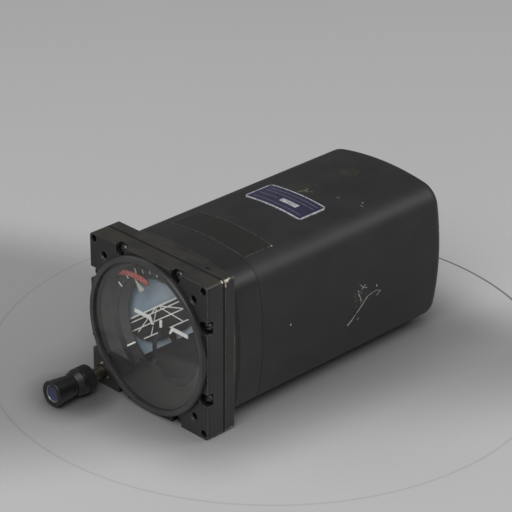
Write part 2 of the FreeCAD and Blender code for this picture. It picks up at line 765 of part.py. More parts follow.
def frame_screw(x, z, slot_angle):
    """Slotted screw with a domed head."""
    top = NOTCH_DEPTH - SCREW_HEAD_HEIGHT
    head = turned([(SCREW_HEAD_R * out, top + SCREW_HEAD_HEIGHT * down) for out, down in SCREW_DOME_SHARES])
    shank = cylinder(SCREW_SHANK_R, NOTCH_DEPTH, screw_end())
    slot = box(-SCREW_HEAD_R - OVERRUN, SCREW_HEAD_R + OVERRUN, top - OVERRUN, top + SLOT_DEPTH,
               -SLOT_WIDTH / 2, SLOT_WIDTH / 2)
    screw = head.fuse(shank).cut(slot)
    return moved(spun(screw, slot_angle), x, 0, z)


def frame_screws():
    """The eight plate screws."""
    screws = [frame_screw(place[0], place[1], angle) for place, angle in zip(screw_places(), SLOT_ANGLES)]
    return Part.makeCompound(screws)


# Case

def case_band():
    """Sleeve between the collar and the seam."""
    return case_tube(0, CASE_WALL, BAND_Y, CASE_Y - BAND_SEAM)


def joint_sleeve():
    """Sleeve under the seam that joins the band and the can."""
    half = SLEEVE_LENGTH / 2
    return case_tube(CASE_WALL + SEAT_GAP, SLEEVE_WALL, CASE_Y - half, CASE_Y + half)


def rounded_can(inset, radius, y0, y1):
    """Case block whose rear edge is rounded."""
    block = case_prism(inset, y0, y1)
    rear = [edge for edge in block.Edges if edge.BoundBox.YMin > (y0 + y1) / 2]
    return block.makeFillet(radius, rear)


def case_can():
    """Drawn can with a rounded rear edge, a connector hole and a plug hole."""
    outer = rounded_can(0, CASE_REAR_R, CASE_Y, CASE_REAR_Y)
    inner = rounded_can(CASE_WALL, CASE_REAR_R - CASE_WALL, CASE_Y, CASE_REAR_Y - CASE_WALL)
    cuts = [inner, box(-CASE_HALF, CASE_HALF, CASE_Y - OVERRUN, CASE_Y, -CASE_HALF, CASE_HALF)]
    start = CASE_REAR_Y - CASE_WALL - OVERRUN
    end = CASE_REAR_Y + OVERRUN
    cuts.append(cylinder(CONNECTOR_R - CONNECTOR_NECK + SEAT_GAP, start, end))
    for x, z in connector_places():
        cuts.append(cylinder(CONNECTOR_SCREW_R + SEAT_GAP, start, end, x, z))
    cuts.append(Part.makeCylinder(PLUG_R + SEAT_GAP, CASE_HALF, V(-PLUG_LEFT, PLUG_Y, 0), V(0, 0, 1)))
    return without(outer, cuts)


def top_skin(low, high):
    """Slab that follows the bowed top of the case, from one height over it to another."""
    centre_z = CASE_HALF - CASE_DROP - CASE_SIDE_R
    return tube(CASE_SIDE_R + high, CASE_SIDE_R + low, CASE_Y, CASE_REAR_Y, 0, centre_z)


def data_plate():
    """Thin plate that follows the bowed top."""
    end = DATA_PLATE_Y + DATA_PLATE_LENGTH
    block = box(-DATA_PLATE_LEFT, DATA_PLATE_RIGHT, DATA_PLATE_Y, end, 0, CASE_HALF + DATA_PLATE_THICK)
    upright = [edge for edge in block.Edges if abs(edge.tangentAt(edge.FirstParameter).z) > 0.5]
    block = block.makeFillet(DATA_PLATE_CORNER_R, upright)
    return block.common(top_skin(0, DATA_PLATE_THICK))


def case_plug():
    """Round plug let into the top of the can."""
    block = Part.makeCylinder(PLUG_R, CASE_HALF + PLUG_PROUD, V(-PLUG_LEFT, PLUG_Y, 0), V(0, 0, 1))
    return block.common(top_skin(-PLUG_THICK, PLUG_PROUD))


# Bezel ring and glass

def bezel_ring():
    """Ring proud of the plate, with a lip over the glass."""
    face = -RING_PROUD
    outline = [
        (RING_OPENING_R, face + RING_REBATE), (RING_OPENING_R + RING_REBATE, face + RING_REBATE),
        (RING_OPENING_R + RING_REBATE, face), (RING_R - RING_CHAMFER, face), (RING_R, face + RING_CHAMFER),
        (RING_R, 0), (GLASS_R + SEAT_GAP, 0), (GLASS_R + SEAT_GAP, GLASS_FRONT_Y),
        (RING_OPENING_R, GLASS_FRONT_Y)]
    return turned(outline)


def glass():
    """Flat glass disc."""
    return cylinder(GLASS_R, GLASS_FRONT_Y, GLASS_BACK_Y)


def glass_gasket():
    """Thin gasket behind the glass."""
    return tube(GLASS_R, SHROUD_MOUTH_R, GLASS_BACK_Y, APRON_Y)


# Apron, shroud and scale

def apron():
    """Ring that carries a lower segment with a central tab."""
    disc = cylinder(PLATE_STEP_R - SEAT_GAP, APRON_Y, APRON_BACK_Y)
    window = cylinder(APRON_BORE_R, APRON_Y - OVERRUN, APRON_BACK_Y + OVERRUN)
    above = box(-PLATE_HALF, PLATE_HALF, APRON_Y - OVERRUN, APRON_BACK_Y + OVERRUN, -APRON_DROP, PLATE_HALF)
    tab_top = APRON_TAB_HEIGHT - APRON_DROP
    tab = box(-APRON_TAB_HALF, APRON_TAB_HALF, APRON_Y, APRON_BACK_Y, -APRON_DROP - APRON_TAB_R, tab_top)
    tops = [edge for edge in tab.Edges
            if edge.BoundBox.ZMin > -APRON_DROP and abs(edge.tangentAt(edge.FirstParameter).y) > 0.5]
    tab = tab.makeFillet(APRON_TAB_R, tops)
    return fused([disc.cut(window.common(above)), tab])


def wall_slot(start, end, y0, y1):
    """Sector cut through the sloping wall of the shroud."""
    outline = [(SHROUD_BORE_R, y0), (PLATE_BORE_R, y0), (PLATE_BORE_R, y1), (SHROUD_BORE_R, y1)]
    return spun(turned(outline, end - start), end)


def dial_shroud():
    """Lip, sloping wall and flat ring, with slots for the flag and the height lever."""
    outline = [
        (SHROUD_MOUTH_R, APRON_BACK_Y), (PLATE_STEP_R - SEAT_GAP, APRON_BACK_Y),
        (PLATE_STEP_R - SEAT_GAP, LIP_BACK_Y), (SHROUD_MOUTH_R + SHROUD_WALL, LIP_BACK_Y),
        (SHROUD_FOOT_R + SHROUD_WALL, SHROUD_BACK_Y), (SHROUD_BORE_R, SHROUD_BACK_Y),
        (SHROUD_BORE_R, SHROUD_FACE_Y), (SHROUD_FOOT_R, SHROUD_FACE_Y)]
    reach = PLATE_BORE_R - FLAG_TAB_GAP
    tab_outline = [(SHROUD_FOOT_R, SHROUD_FACE_Y), (reach, SHROUD_FACE_Y), (reach, SHROUD_BACK_Y),
                   (SHROUD_FOOT_R, SHROUD_BACK_Y)]
    tab = spun(turned(tab_outline, 2 * FLAG_TAB_HALF_ANGLE), FLAG_PIVOT_ANGLE + FLAG_TAB_HALF_ANGLE)
    shell = fused([turned(outline), tab])
    flag_slot = wall_slot(FLAG_SLOT_START_ANGLE, FLAG_SLOT_END_ANGLE, FLAG_Y - MOVING_GAP, SHROUD_FACE_Y)
    lever_slot = wall_slot(LEVER_SLOT_START_ANGLE, LEVER_SLOT_END_ANGLE, LEVER_Y - MOVING_GAP, SHROUD_FACE_Y)
    pin_hole = cylinder(FLAG_PIN_R + SEAT_GAP, SHROUD_FACE_Y - OVERRUN, SHROUD_BACK_Y + OVERRUN,
                        FLAG_PIVOT_X, FLAG_PIVOT_Z)
    return without(shell, [flag_slot, lever_slot, pin_hole])


def bank_mark(angle, length, width):
    """One radial mark of the bank scale, away from the top by the angle."""
    front = SHROUD_FACE_Y - MARK_THICK
    bar = box(-width / 2, width / 2, front, SHROUD_FACE_Y, MARK_INNER_R, MARK_INNER_R + length)
    return spun(bar, angle)


def bank_marks():
    """Marks on both sides of the top, and the round mark at the top."""
    marks = []
    dot_place = MARK_INNER_R + MARK_DOT_R
    marks.append(cylinder(MARK_DOT_R, SHROUD_FACE_Y - MARK_THICK, SHROUD_FACE_Y, 0, dot_place))
    for angle, length_share, width_share in zip(MARK_ANGLES, MARK_LENGTH_SHARES, MARK_WIDTH_SHARES):
        for side in (-1, 1):
            marks.append(bank_mark(side * angle, MARK_LENGTH * length_share, MARK_WIDTH * width_share))
    return Part.makeCompound(marks)


# Dial pieces that bank with the roll gimbal, built upright and then turned

def roll_mask():
    """Dished mask with a round window whose lower part is closed by a chord."""
    cone_slope = (MASK_WINDOW_Y - MASK_RIM_Y) / (MASK_RIM_R - MASK_WINDOW_R)
    back_r = MASK_RIM_R - (MASK_REAR_Y - MASK_RIM_Y - MASK_THICK) / cone_slope
    outline = [
        (MASK_RIM_R, MASK_RIM_Y), (MASK_RIM_R, MASK_BACK_Y), (ROLL_R, MASK_BACK_Y), (ROLL_R, MASK_REAR_Y),
        (back_r, MASK_REAR_Y), (MASK_WINDOW_R, MASK_WINDOW_Y + MASK_THICK), (MASK_WINDOW_R, MASK_WINDOW_Y)]
    pan = turned(outline)
    segment = cylinder(MASK_WINDOW_R + MASK_THICK / 2, MASK_WINDOW_Y, MASK_WINDOW_Y + MASK_THICK)
    below = box(-ROLL_R, ROLL_R, MASK_WINDOW_Y, MASK_WINDOW_Y + MASK_THICK, -ROLL_R, -MASK_CHORD)
    return banked(fused([pan, segment.common(below)]))


def index_marks():
    """Two level dashes on the mask's cone."""
    outline = [
        (MASK_RIM_R, MASK_RIM_Y - INDEX_THICK), (MASK_RIM_R, MASK_RIM_Y), (MASK_WINDOW_R, MASK_WINDOW_Y),
        (MASK_WINDOW_R, MASK_WINDOW_Y - INDEX_THICK)]
    sweep = math.degrees(INDEX_WIDTH / MASK_RIM_R)
    mark = turned(outline, sweep)
    marks = [spun(mark, sweep / 2), spun(mark, 180.0 + sweep / 2)]
    return banked(Part.makeCompound(marks))


def bank_pointer():
    """Triangle that leans over the window, with a foot on the cone near its tip."""
    half = POINTER_WIDTH / 2
    slope = (POINTER_BASE_Y - POINTER_TIP_Y) / (POINTER_TIP_R - POINTER_BASE_R)
    triangle = [(0, POINTER_TIP_R), (half, POINTER_BASE_R), (-half, POINTER_BASE_R)]
    block = front_prism(triangle, 0, MASK_WINDOW_Y)
    slab = side_prism([
        (POINTER_TIP_Y, POINTER_TIP_R), (POINTER_BASE_Y, POINTER_BASE_R),
        (POINTER_BASE_Y + POINTER_THICK, POINTER_BASE_R), (POINTER_TIP_Y + POINTER_THICK, POINTER_TIP_R)],
        -half, half)
    foot_low = POINTER_TIP_R - POINTER_FOOT
    foot_y = POINTER_TIP_Y + slope * POINTER_FOOT + POINTER_THICK / 2
    cone_slope = (MASK_WINDOW_Y - MASK_RIM_Y) / (MASK_RIM_R - MASK_WINDOW_R)
    cone_y = MASK_RIM_Y + (MASK_RIM_R - foot_low) * cone_slope
    tip_y = MASK_RIM_Y + (MASK_RIM_R - POINTER_TIP_R) * cone_slope
    foot = side_prism([(foot_y, foot_low), (cone_y, foot_low), (tip_y, POINTER_TIP_R),
                       (POINTER_TIP_Y + POINTER_THICK / 2, POINTER_TIP_R)], -half, half)
    return banked(block.common(fused([slab, foot])))


def sky_card():
    """Disc cut straight below, with tabs that reach the gimbal's arms."""
    disc = cylinder(SKY_R, SKY_Y, SKY_Y + SKY_THICK)
    reach = GIMBAL_ARM_INNER - SEAT_GAP
    tabs = box(-reach, reach, SKY_Y, SKY_Y + SKY_THICK, -SKY_TAB_HALF, SKY_TAB_HALF)
    cut = -MASK_CHORD - SKY_OVERLAP
    below = box(-ROLL_R, ROLL_R, SKY_Y - OVERRUN, SKY_Y + SKY_THICK + OVERRUN, -ROLL_R, cut)
    return banked(fused([disc, tabs]).cut(below))


def card_blank(y0, y1):
    """Ground card between two depths: its straight top is the horizon, the rest is bowed."""
    half = [(GROUND_SIDE_HALF * out, HORIZON_RISE - GROUND_HEIGHT * down)
            for out, down in GROUND_EDGE_SHARES]
    half.insert(0, (GROUND_TOP_HALF, HORIZON_RISE))
    points = [V(x, y0, z) for x, z in half] + [V(-x, y0, z) for x, z in reversed(half)]
    bow = Part.BSplineCurve()
    bow.interpolate(points)
    outline = Part.Wire([bow.toShape(), Part.makeLine(points[-1], points[0])])
    return Part.Face(outline).extrude(V(0, y1 - y0, 0))


def carded(shape):
    """Copy turned with the ground card, which sits a little out of level with the mask."""
    return banked(spun(shape, GROUND_TILT_ANGLE))


def ground_card():
    """Flat card in front of the sky."""
    return carded(card_blank(GROUND_Y, GROUND_Y + GROUND_THICK))


def card_bar(left, right, drop, width):
    """Level line on the card, at a drop below the horizon edge."""
    middle = HORIZON_RISE - drop
    return box(left, right, GROUND_Y - LINE_THICK, GROUND_Y, middle - width / 2, middle + width / 2)


def card_lines():
    """Horizon line, pitch lines and rays on the card's face."""
    edge = GROUND_TOP_HALF - HORIZON_LINE
    lines = [card_bar(-edge, edge, HORIZON_LINE / 2, HORIZON_LINE)]
    for drop, inset in zip(CARD_LINE_DROPS, CARD_LINE_INSETS):
        half = GROUND_SIDE_HALF - inset
        lines.append(card_bar(-half, half, drop, CARD_LINE))
    outer = GROUND_SIDE_HALF - LAST_LINE_INSET
    lines.append(card_bar(-outer, -LAST_LINE_INNER, LAST_LINE_DROP, CARD_LINE))
    lines.append(card_bar(LAST_LINE_GAP, outer, LAST_LINE_DROP, CARD_LINE))
    card = card_blank(GROUND_Y - GROUND_THICK, GROUND_Y)
    for angle, length in zip(RAY_ANGLES, RAY_LENGTHS):
        for side in (0, 1):
            ray = box(RAY_START, length, GROUND_Y - LINE_THICK, GROUND_Y, -RAY_WIDTH / 2, RAY_WIDTH / 2)
            ray = spun(ray, -angle)
            if side:
                ray = mirrored(ray)
            lines.append(moved(ray, 0, 0, HORIZON_RISE).common(card))
    return carded(fused(lines))


# Horizon arm, built as shown: its front end raised to the horizon's height

def arm_side():
    """Side plate from the pivot to the yoke."""
    reach = ARM_PIVOT_Y - ARM_YOKE_Y
    outline = [(ARM_PIVOT_Y + reach * along, reach * up) for along, up in ARM_OUTLINE_SHARES]
    plate = side_prism(outline, ARM_INNER, ARM_INNER + ARM_THICK)
    boss = cross_bar(ARM_BOSS_R, ARM_INNER, ARM_INNER + ARM_THICK, ARM_PIVOT_Y, 0)
    hole = cross_bar(ARM_PIVOT_R + RUNNING_GAP, ARM_INNER - OVERRUN, GIMBAL_ARM_INNER, ARM_PIVOT_Y, 0)
    return plate.fuse(boss).cut(hole)


def drive_slot():
    """Slot in the right side plate for the pin on the gyro housing, in line with the pivot."""
    near = ARM_PIVOT_Y - PITCH_Y - DRIVE_PIN_PLACE
    pitch = math.radians(PITCH_REST_ANGLE)
    far = math.hypot(near + DRIVE_PIN_PLACE * (1 - math.cos(pitch)), DRIVE_PIN_PLACE * math.sin(pitch))
    half = DRIVE_PIN_R + DRIVE_SLOT_GAP
    slot = box(ARM_INNER - OVERRUN, ARM_INNER + ARM_THICK + OVERRUN, ARM_PIVOT_Y - far - half,
               ARM_PIVOT_Y - near + half, -half, half)
    return tipped(slot, -ARM_REST_ANGLE, ARM_PIVOT_Y)


def horizon_arm():
    """Two side plates joined by a yoke and a tongue that carries the card's stem."""
    right = arm_side()
    left = mirrored(right)
    foot = -ARM_DROP
    head = foot + ARM_HEIGHT
    outer = ARM_INNER + ARM_THICK
    yoke_right = plan_prism([
        (outer, ARM_YOKE_Y), (outer, ARM_YOKE_Y + ARM_THICK), (ARM_INNER, ARM_YOKE_Y + ARM_THICK),
        (ARM_TONGUE_HALF - ARM_THICK, ARM_TONGUE_Y + ARM_THICK), (ARM_TONGUE_HALF - ARM_THICK, ARM_TONGUE_Y),
        (ARM_TONGUE_HALF, ARM_TONGUE_Y)], foot, head)
    tongue_front = GROUND_Y + GROUND_THICK
    tongue = box(-ARM_TONGUE_HALF, ARM_TONGUE_HALF, tongue_front, ARM_TONGUE_Y + 2 * ARM_THICK, foot,
                 foot + ARM_TONGUE_THICK)
    stem = box(-STEM_HALF, STEM_HALF, tongue_front, tongue_front + STEM_THICK, foot, foot + STEM_RISE)
    arm = fused([right.cut(drive_slot()), left, yoke_right, mirrored(yoke_right), tongue, stem])
    return banked(arm)


# Roll gimbal, its shaft and bearings

def roll_gimbal():
    """U frame: front ring, two arms and the rear disc."""
    ring = tube(ROLL_R, GIMBAL_RING_R, MASK_REAR_Y, RING_REAR_Y)
    outer = GIMBAL_ARM_INNER + GIMBAL_ARM_THICK
    end = GIMBAL_DISC_Y + GIMBAL_DISC_THICK
    arm = box(GIMBAL_ARM_INNER, outer, MASK_REAR_Y, end, -GIMBAL_ARM_HALF, GIMBAL_ARM_HALF)
    frame = fused([ring, arm, mirrored(arm), cylinder(outer, GIMBAL_DISC_Y, end)])
    cuts = [cylinder(SHAFT_R + SEAT_GAP, GIMBAL_DISC_Y - OVERRUN, end + OVERRUN)]
    cuts.append(cross_bar(PITCH_BEARING_R + SEAT_GAP, -ROLL_R, ROLL_R, PITCH_Y, 0))
    cuts.append(cross_bar(ARM_PIVOT_R + SEAT_GAP, -ROLL_R, ROLL_R, ARM_PIVOT_Y, 0))
    return banked(without(frame, cuts))


def roll_shaft():
    """Hollow shaft with a flange in front of the rear disc."""
    start = GIMBAL_DISC_Y - SHAFT_FLANGE_THICK
    flange = cylinder(SHAFT_R + SHAFT_FLANGE_THICK, start, GIMBAL_DISC_Y)
    bar = cylinder(SHAFT_R, GIMBAL_DISC_Y, SHAFT_END_Y)
    bore = cylinder(SHAFT_BORE_R, start - OVERRUN, SHAFT_END_Y + OVERRUN)
    return fused([flange, bar]).cut(bore)


def race(outer, inner, y, groove_r):
    """Bearing race with a ball groove."""
    ring = tube(outer, inner, y, y + BEARING_WIDTH)
    middle = V(0, y + BEARING_WIDTH / 2, 0)
    groove = Part.makeTorus(groove_r, BEARING_BALL_R + RUNNING_GAP, middle, V(0, 1, 0))
    return ring.cut(groove)


def ball_circle():
    """Radius of the circle of ball centres."""
    return (BEARING_INNER_R + BEARING_OUTER_R) / 2 - BEARING_BALL_R / 2


def roll_bearing_outer():
    """Outer races of both roll bearings."""
    inner = ball_circle() + BEARING_BALL_R / 2
    races = [race(BEARING_OUTER_R, inner, y, ball_circle()) for y in (FRONT_BEARING_Y, REAR_BEARING_Y)]
    return Part.makeCompound(races)


def roll_bearing_inner():
    """Inner races and balls of both roll bearings."""
    outer = ball_circle() - BEARING_BALL_R / 2
    pieces = []
    for y in (FRONT_BEARING_Y, REAR_BEARING_Y):
        pieces.append(race(outer, SHAFT_R + SEAT_GAP, y, ball_circle()))
        for index in range(BEARING_BALLS):
            x, z = polar(ball_circle(), 360.0 * index / BEARING_BALLS)
            pieces.append(Part.makeSphere(BEARING_BALL_R, V(x, y + BEARING_WIDTH / 2, z)))
    return Part.makeCompound(pieces)


def slip_rings():
    """Row of contact rings on the shaft."""
    rings = []
    for index in range(SLIP_RINGS):
        y = SLIP_RING_Y + SLIP_RING_PITCH * index
        rings.append(tube(SLIP_RING_R, SHAFT_R + SEAT_GAP, y, y + SLIP_RING_WIDTH))
    return Part.makeCompound(rings)


def pitch_bearings():
    """Bearings of the pitch trunnions, one in each gimbal arm."""
    outer = GIMBAL_ARM_INNER + GIMBAL_ARM_THICK
    ring = cross_bar(PITCH_BEARING_R, GIMBAL_ARM_INNER, outer, PITCH_Y, 0)
    bore = cross_bar(TRUNNION_R + RUNNING_GAP, GIMBAL_ARM_INNER - OVERRUN, outer + OVERRUN, PITCH_Y, 0)
    ring = ring.cut(bore)
    return banked(Part.makeCompound([ring, mirrored(ring)]))


def horizon_pivots():
    """Pivot pins of the horizon arm, one in each gimbal arm."""
    outer = GIMBAL_ARM_INNER + GIMBAL_ARM_THICK
    pin = cross_bar(ARM_PIVOT_R, ARM_INNER - ARM_THICK / 2, outer, ARM_PIVOT_Y, 0)
    return banked(Part.makeCompound([pin, mirrored(pin)]))


# Gyro, built level with its own axis upright, then tipped and banked as shown

def pitched(shape):
    """Copy of a gyro piece, tipped about the trunnions and banked as shown."""
    return banked(tipped(shape, PITCH_REST_ANGLE, PITCH_Y))


def upright(radius, z0, z1):
    """Round bar on the gyro's spin axis."""
    return Part.makeCylinder(radius, z1 - z0, V(0, PITCH_Y, z0), V(0, 0, 1))


def upright_tube(outer, inner, z0, z1):
    """Round bar with a bore on the gyro's spin axis."""
    return upright(outer, z0, z1).cut(upright(inner, z0 - OVERRUN, z1 + OVERRUN))


def gyro_housing():
    """Cup of the gyro housing, with a pocket for the lower rotor bearing."""
    split = HOUSING_HALF - COVER_DEPTH
    floor = HOUSING_WALL - HOUSING_HALF
    cup = upright(HOUSING_R, -HOUSING_HALF, split)
    room = upright(HOUSING_R - HOUSING_WALL, floor, split + OVERRUN)
    boss = upright(ROTOR_BEARING_R + HOUSING_WALL, -HOUSING_HALF, floor + ROTOR_BEARING_WIDTH)
    pocket = upright(ROTOR_BEARING_R + SEAT_GAP, floor, split)
    trunnion_holes = cross_bar(TRUNNION_R + SEAT_GAP, -HOUSING_R, HOUSING_R, PITCH_Y, 0)
    return pitched(without(fused([cup.cut(room), boss]), [pocket, trunnion_holes]))


def gyro_cover():
    """Lid of the gyro housing, with a pocket for the upper rotor bearing."""
    split = HOUSING_HALF - COVER_DEPTH + SEAT_GAP
    ceiling = HOUSING_HALF - HOUSING_WALL
    lid = upright(HOUSING_R, split, HOUSING_HALF)
    room = upright(HOUSING_R - HOUSING_WALL, split - OVERRUN, ceiling)
    boss = upright(ROTOR_BEARING_R + HOUSING_WALL, ceiling - ROTOR_BEARING_WIDTH, HOUSING_HALF)
    pocket = upright(ROTOR_BEARING_R + SEAT_GAP, 0, ceiling)
    return pitched(fused([lid.cut(room), boss]).cut(pocket))


def rotor_bearings():
    """Bearings at both ends of the rotor shaft."""
    low = -HOUSING_HALF + HOUSING_WALL
    ring = upright_tube(ROTOR_BEARING_R, ROTOR_SHAFT_R + RUNNING_GAP, low, low + ROTOR_BEARING_WIDTH)
    return pitched(Part.makeCompound([ring, ring.mirror(V(0, 0, 0), V(0, 0, 1))]))


def gyro_rotor():
    """Heavy rim, web and shaft of the rotor."""
    rim = upright_tube(ROTOR_R, ROTOR_BORE_R, -ROTOR_HALF, ROTOR_HALF)
    web = upright(ROTOR_R, ROTOR_HALF - ROTOR_WEB, ROTOR_HALF)
    end = HOUSING_HALF - HOUSING_WALL - SEAT_GAP
    shaft = upright(ROTOR_SHAFT_R, -end, end)
    return pitched(fused([rim, web, shaft]))


def gyro_stator():
    """Wound stator inside the rotor's rim, on a foot that stands on the housing's floor."""
    top = ROTOR_HALF - ROTOR_WEB - MOVING_GAP
    body = upright(STATOR_R, top - STATOR_DEPTH, top)
    floor = -HOUSING_HALF + HOUSING_WALL
    inner = ROTOR_BEARING_R + HOUSING_WALL + MOVING_GAP
    foot = upright_tube(STATOR_R, inner, floor, top - STATOR_DEPTH)
    stack = fused([body, foot]).cut(upright(STATOR_BORE_R, floor, top + OVERRUN))
    return pitched(stack)


def pitch_trunnions():
    """Flanged stub shafts on both sides of the housing."""
    flat = math.sqrt(HOUSING_R ** 2 - TRUNNION_FLANGE_R ** 2)
    end = GIMBAL_ARM_INNER + GIMBAL_ARM_THICK
    stub = cross_bar(TRUNNION_R, HOUSING_R - HOUSING_WALL, end, PITCH_Y, 0)
    flange = cross_bar(TRUNNION_FLANGE_R, flat, HOUSING_R + TRUNNION_FLANGE_THICK, PITCH_Y, 0)
    body = upright(HOUSING_R + SEAT_GAP, -HOUSING_HALF, HOUSING_HALF)
    trunnion = fused([stub, flange.cut(body)])
    return pitched(Part.makeCompound([trunnion, mirrored(trunnion)]))


def drive_pin():
    """Pin behind the trunnion that drives the horizon arm, riveted to a foot on the housing."""
    start = math.sqrt(HOUSING_R ** 2 - (DRIVE_PIN_PLACE + DRIVE_PIN_R) ** 2)
    end = ARM_INNER + ARM_THICK + ARM_THICK / 2
    pin = cross_bar(DRIVE_PIN_R, start, end, PITCH_Y + DRIVE_PIN_PLACE, 0)
    return pitched(pin.cut(upright(HOUSING_R + SEAT_GAP, -HOUSING_HALF, HOUSING_HALF)))


# Chassis, brush block, board and connector

def rod_places():
    """Centres of the four chassis rods."""
    return [(x, z) for x in (-ROD_PLACE, ROD_PLACE) for z in (-ROD_PLACE, ROD_PLACE)]


def chassis_rods():
    """Four rods from the front plate to the nuts behind the board, with their nuts."""
    end = BOARD_BACK_Y + NUT_THICK
    rods = []
    for x, z in rod_places():
        rod = cylinder(ROD_R, PLATE_DEPTH - ROD_STUB, end, x, z)
        corners = [polar(NUT_R, 60.0 * index) for index in range(6)]
        nut = moved(front_prism(corners, end - NUT_THICK, end), x, 0, z)
        rods.append(fused([rod, nut]))
    return Part.makeCompound(rods)


def chassis_spacers():
    """Sleeves on the rods between plate, bearing plates and board."""
    stops = [PLATE_DEPTH, FRONT_BEARING_Y, FRONT_BEARING_Y + BEARING_WIDTH, REAR_BEARING_Y,
             REAR_BEARING_Y + BEARING_WIDTH, BOARD_Y]
    sleeves = []
    for x, z in rod_places():
        for start, end in zip(stops[0::2], stops[1::2]):
            sleeves.append(tube(SPACER_R, ROD_R + SEAT_GAP, start, end, x, z))
    return Part.makeCompound(sleeves)


def bearing_plate(y):
    """Plate across the case that holds one roll bearing."""
    end = y + BEARING_WIDTH
    plate = case_prism(CASE_WALL + PLATE_MARGIN, y, end)
    cuts = [cylinder(BEARING_OUTER_R + SEAT_GAP, y - OVERRUN, end + OVERRUN)]
    for x, z in rod_places():
        cuts.append(cylinder(ROD_R + SEAT_GAP, y - OVERRUN, end + OVERRUN, x, z))
    return without(plate, cuts)


def bearing_plate_front():
    """Front bearing plate, which also guides the caging rod."""
    start = FRONT_BEARING_Y - OVERRUN
    end = FRONT_BEARING_Y + BEARING_WIDTH + OVERRUN
    hole = cylinder(CAGING_ROD_R + RUNNING_GAP, start, end, CAGING_X, CAGING_Z)
    return bearing_plate(FRONT_BEARING_Y).cut(hole)


def bearing_plate_rear():
    """Rear bearing plate."""
    return bearing_plate(REAR_BEARING_Y)


def brush_block():
    """Block on the rear bearing plate whose brushes reach the slip rings."""
    start = REAR_BEARING_Y + BEARING_WIDTH
    end = SLIP_RING_Y + SLIP_RING_PITCH * SLIP_RINGS
    half = BRUSH_BLOCK_WIDTH / 2
    block = box(-half, half, start, end, BRUSH_BLOCK_FOOT, BRUSH_BLOCK_FOOT + BRUSH_BLOCK_HEIGHT)
    pieces = [block]
    for index in range(SLIP_RINGS):
        y = SLIP_RING_Y + SLIP_RING_PITCH * index + SLIP_RING_WIDTH / 2
        low = SLIP_RING_R + RUNNING_GAP
        length = BRUSH_BLOCK_FOOT + BRUSH_R - low
        pieces.append(Part.makeCylinder(BRUSH_R, length, V(0, y, low), V(0, 0, 1)))
    return fused(pieces)


def circuit_board():
    """Board across the rear of the case."""
    board = case_prism(CASE_WALL + BOARD_MARGIN, BOARD_Y, BOARD_BACK_Y)
    start = BOARD_Y - OVERRUN
    end = BOARD_BACK_Y + OVERRUN
    holes = [cylinder(ROD_R + SEAT_GAP, start, end, x, z) for x, z in rod_places()]
    return without(board, holes)


def board_parts():
    """Three capacitors and a transformer on the rear of the board."""
    parts = []
    for angle in CAPACITOR_ANGLES:
        x, z = polar(BOARD_PART_R, angle)
        parts.append(cylinder(CAPACITOR_R, BOARD_BACK_Y, BOARD_BACK_Y + CAPACITOR_LENGTH, x, z))
    half = TRANSFORMER_SIDE / 2
    end = BOARD_BACK_Y + TRANSFORMER_DEPTH
    parts.append(box(-half, half, BOARD_BACK_Y, end, BOARD_PART_R - half, BOARD_PART_R + half))
    return Part.makeCompound(parts)


def connector_places():
    """Centres of the connector's four screws."""
    place = CONNECTOR_FLANGE / 2 - CONNECTOR_HOLE_INSET
    return [(x, z) for x in (-place, place) for z in (-place, place)]


def connector_shell():
    """Square flange, round barrel and narrower inner neck of the rear connector."""
    half = CONNECTOR_FLANGE / 2
    flange_end = CASE_REAR_Y + CONNECTOR_FLANGE_THICK
    start = CASE_REAR_Y - CONNECTOR_INSIDE
    end = CASE_REAR_Y + CONNECTOR_PROUD
    flange = rounded_block(half, half, CONNECTOR_FLANGE_R, CASE_REAR_Y, flange_end)
    barrel = cylinder(CONNECTOR_R, CASE_REAR_Y, end)
    neck = cylinder(CONNECTOR_R - CONNECTOR_NECK, start, end)
    bore = cylinder(CONNECTOR_R - CONNECTOR_WALL, start - OVERRUN, end + OVERRUN)
    holes = [cylinder(CONNECTOR_SCREW_R + SEAT_GAP, CASE_REAR_Y - OVERRUN, flange_end + OVERRUN, x, z)
             for x, z in connector_places()]
    return without(fused([flange, barrel, neck]), [bore] + holes)


def connector_screws():
    """Four screws that hold the connector on the can."""
    head_y = CASE_REAR_Y + CONNECTOR_FLANGE_THICK
    screws = []
    for x, z in connector_places():
        shank = cylinder(CONNECTOR_SCREW_R, head_y - CONNECTOR_SCREW_LENGTH, head_y, x, z)
        head = cylinder(CONNECTOR_HEAD_R, head_y, head_y + CONNECTOR_HEAD_HEIGHT, x, z)
        screws.append(fused([shank, head]))
    return Part.makeCompound(screws)


def pin_places():
    """Centres of the connector's pins, in two rings."""
    places = [polar(PIN_RING_R, 360.0 * index / PIN_RING_COUNT) for index in range(PIN_RING_COUNT)]
    places += [polar(PIN_INNER_R, 360.0 * index / PIN_INNER_COUNT) for index in range(PIN_INNER_COUNT)]
    return places


def connector_insert():
    """Insulating disc that holds the pins."""
    end = CASE_REAR_Y + CONNECTOR_PROUD - INSERT_SETBACK
    disc = cylinder(CONNECTOR_R - CONNECTOR_WALL - SEAT_GAP, end - INSERT_LENGTH, end)
    start = end - INSERT_LENGTH - OVERRUN
    holes = [cylinder(PIN_R + SEAT_GAP, start, end + OVERRUN, x, z) for x, z in pin_places()]
    return without(disc, holes)


def connector_pins():
    """Contact pins."""
    end = CASE_REAR_Y + CONNECTOR_PROUD - INSERT_SETBACK
    pins = [cylinder(PIN_R, end - INSERT_LENGTH - PIN_TAIL, end + PIN_PROUD, x, z) for x, z in pin_places()]
    return Part.makeCompound(pins)


# Aircraft symbol, its stem and guide, raised as shown

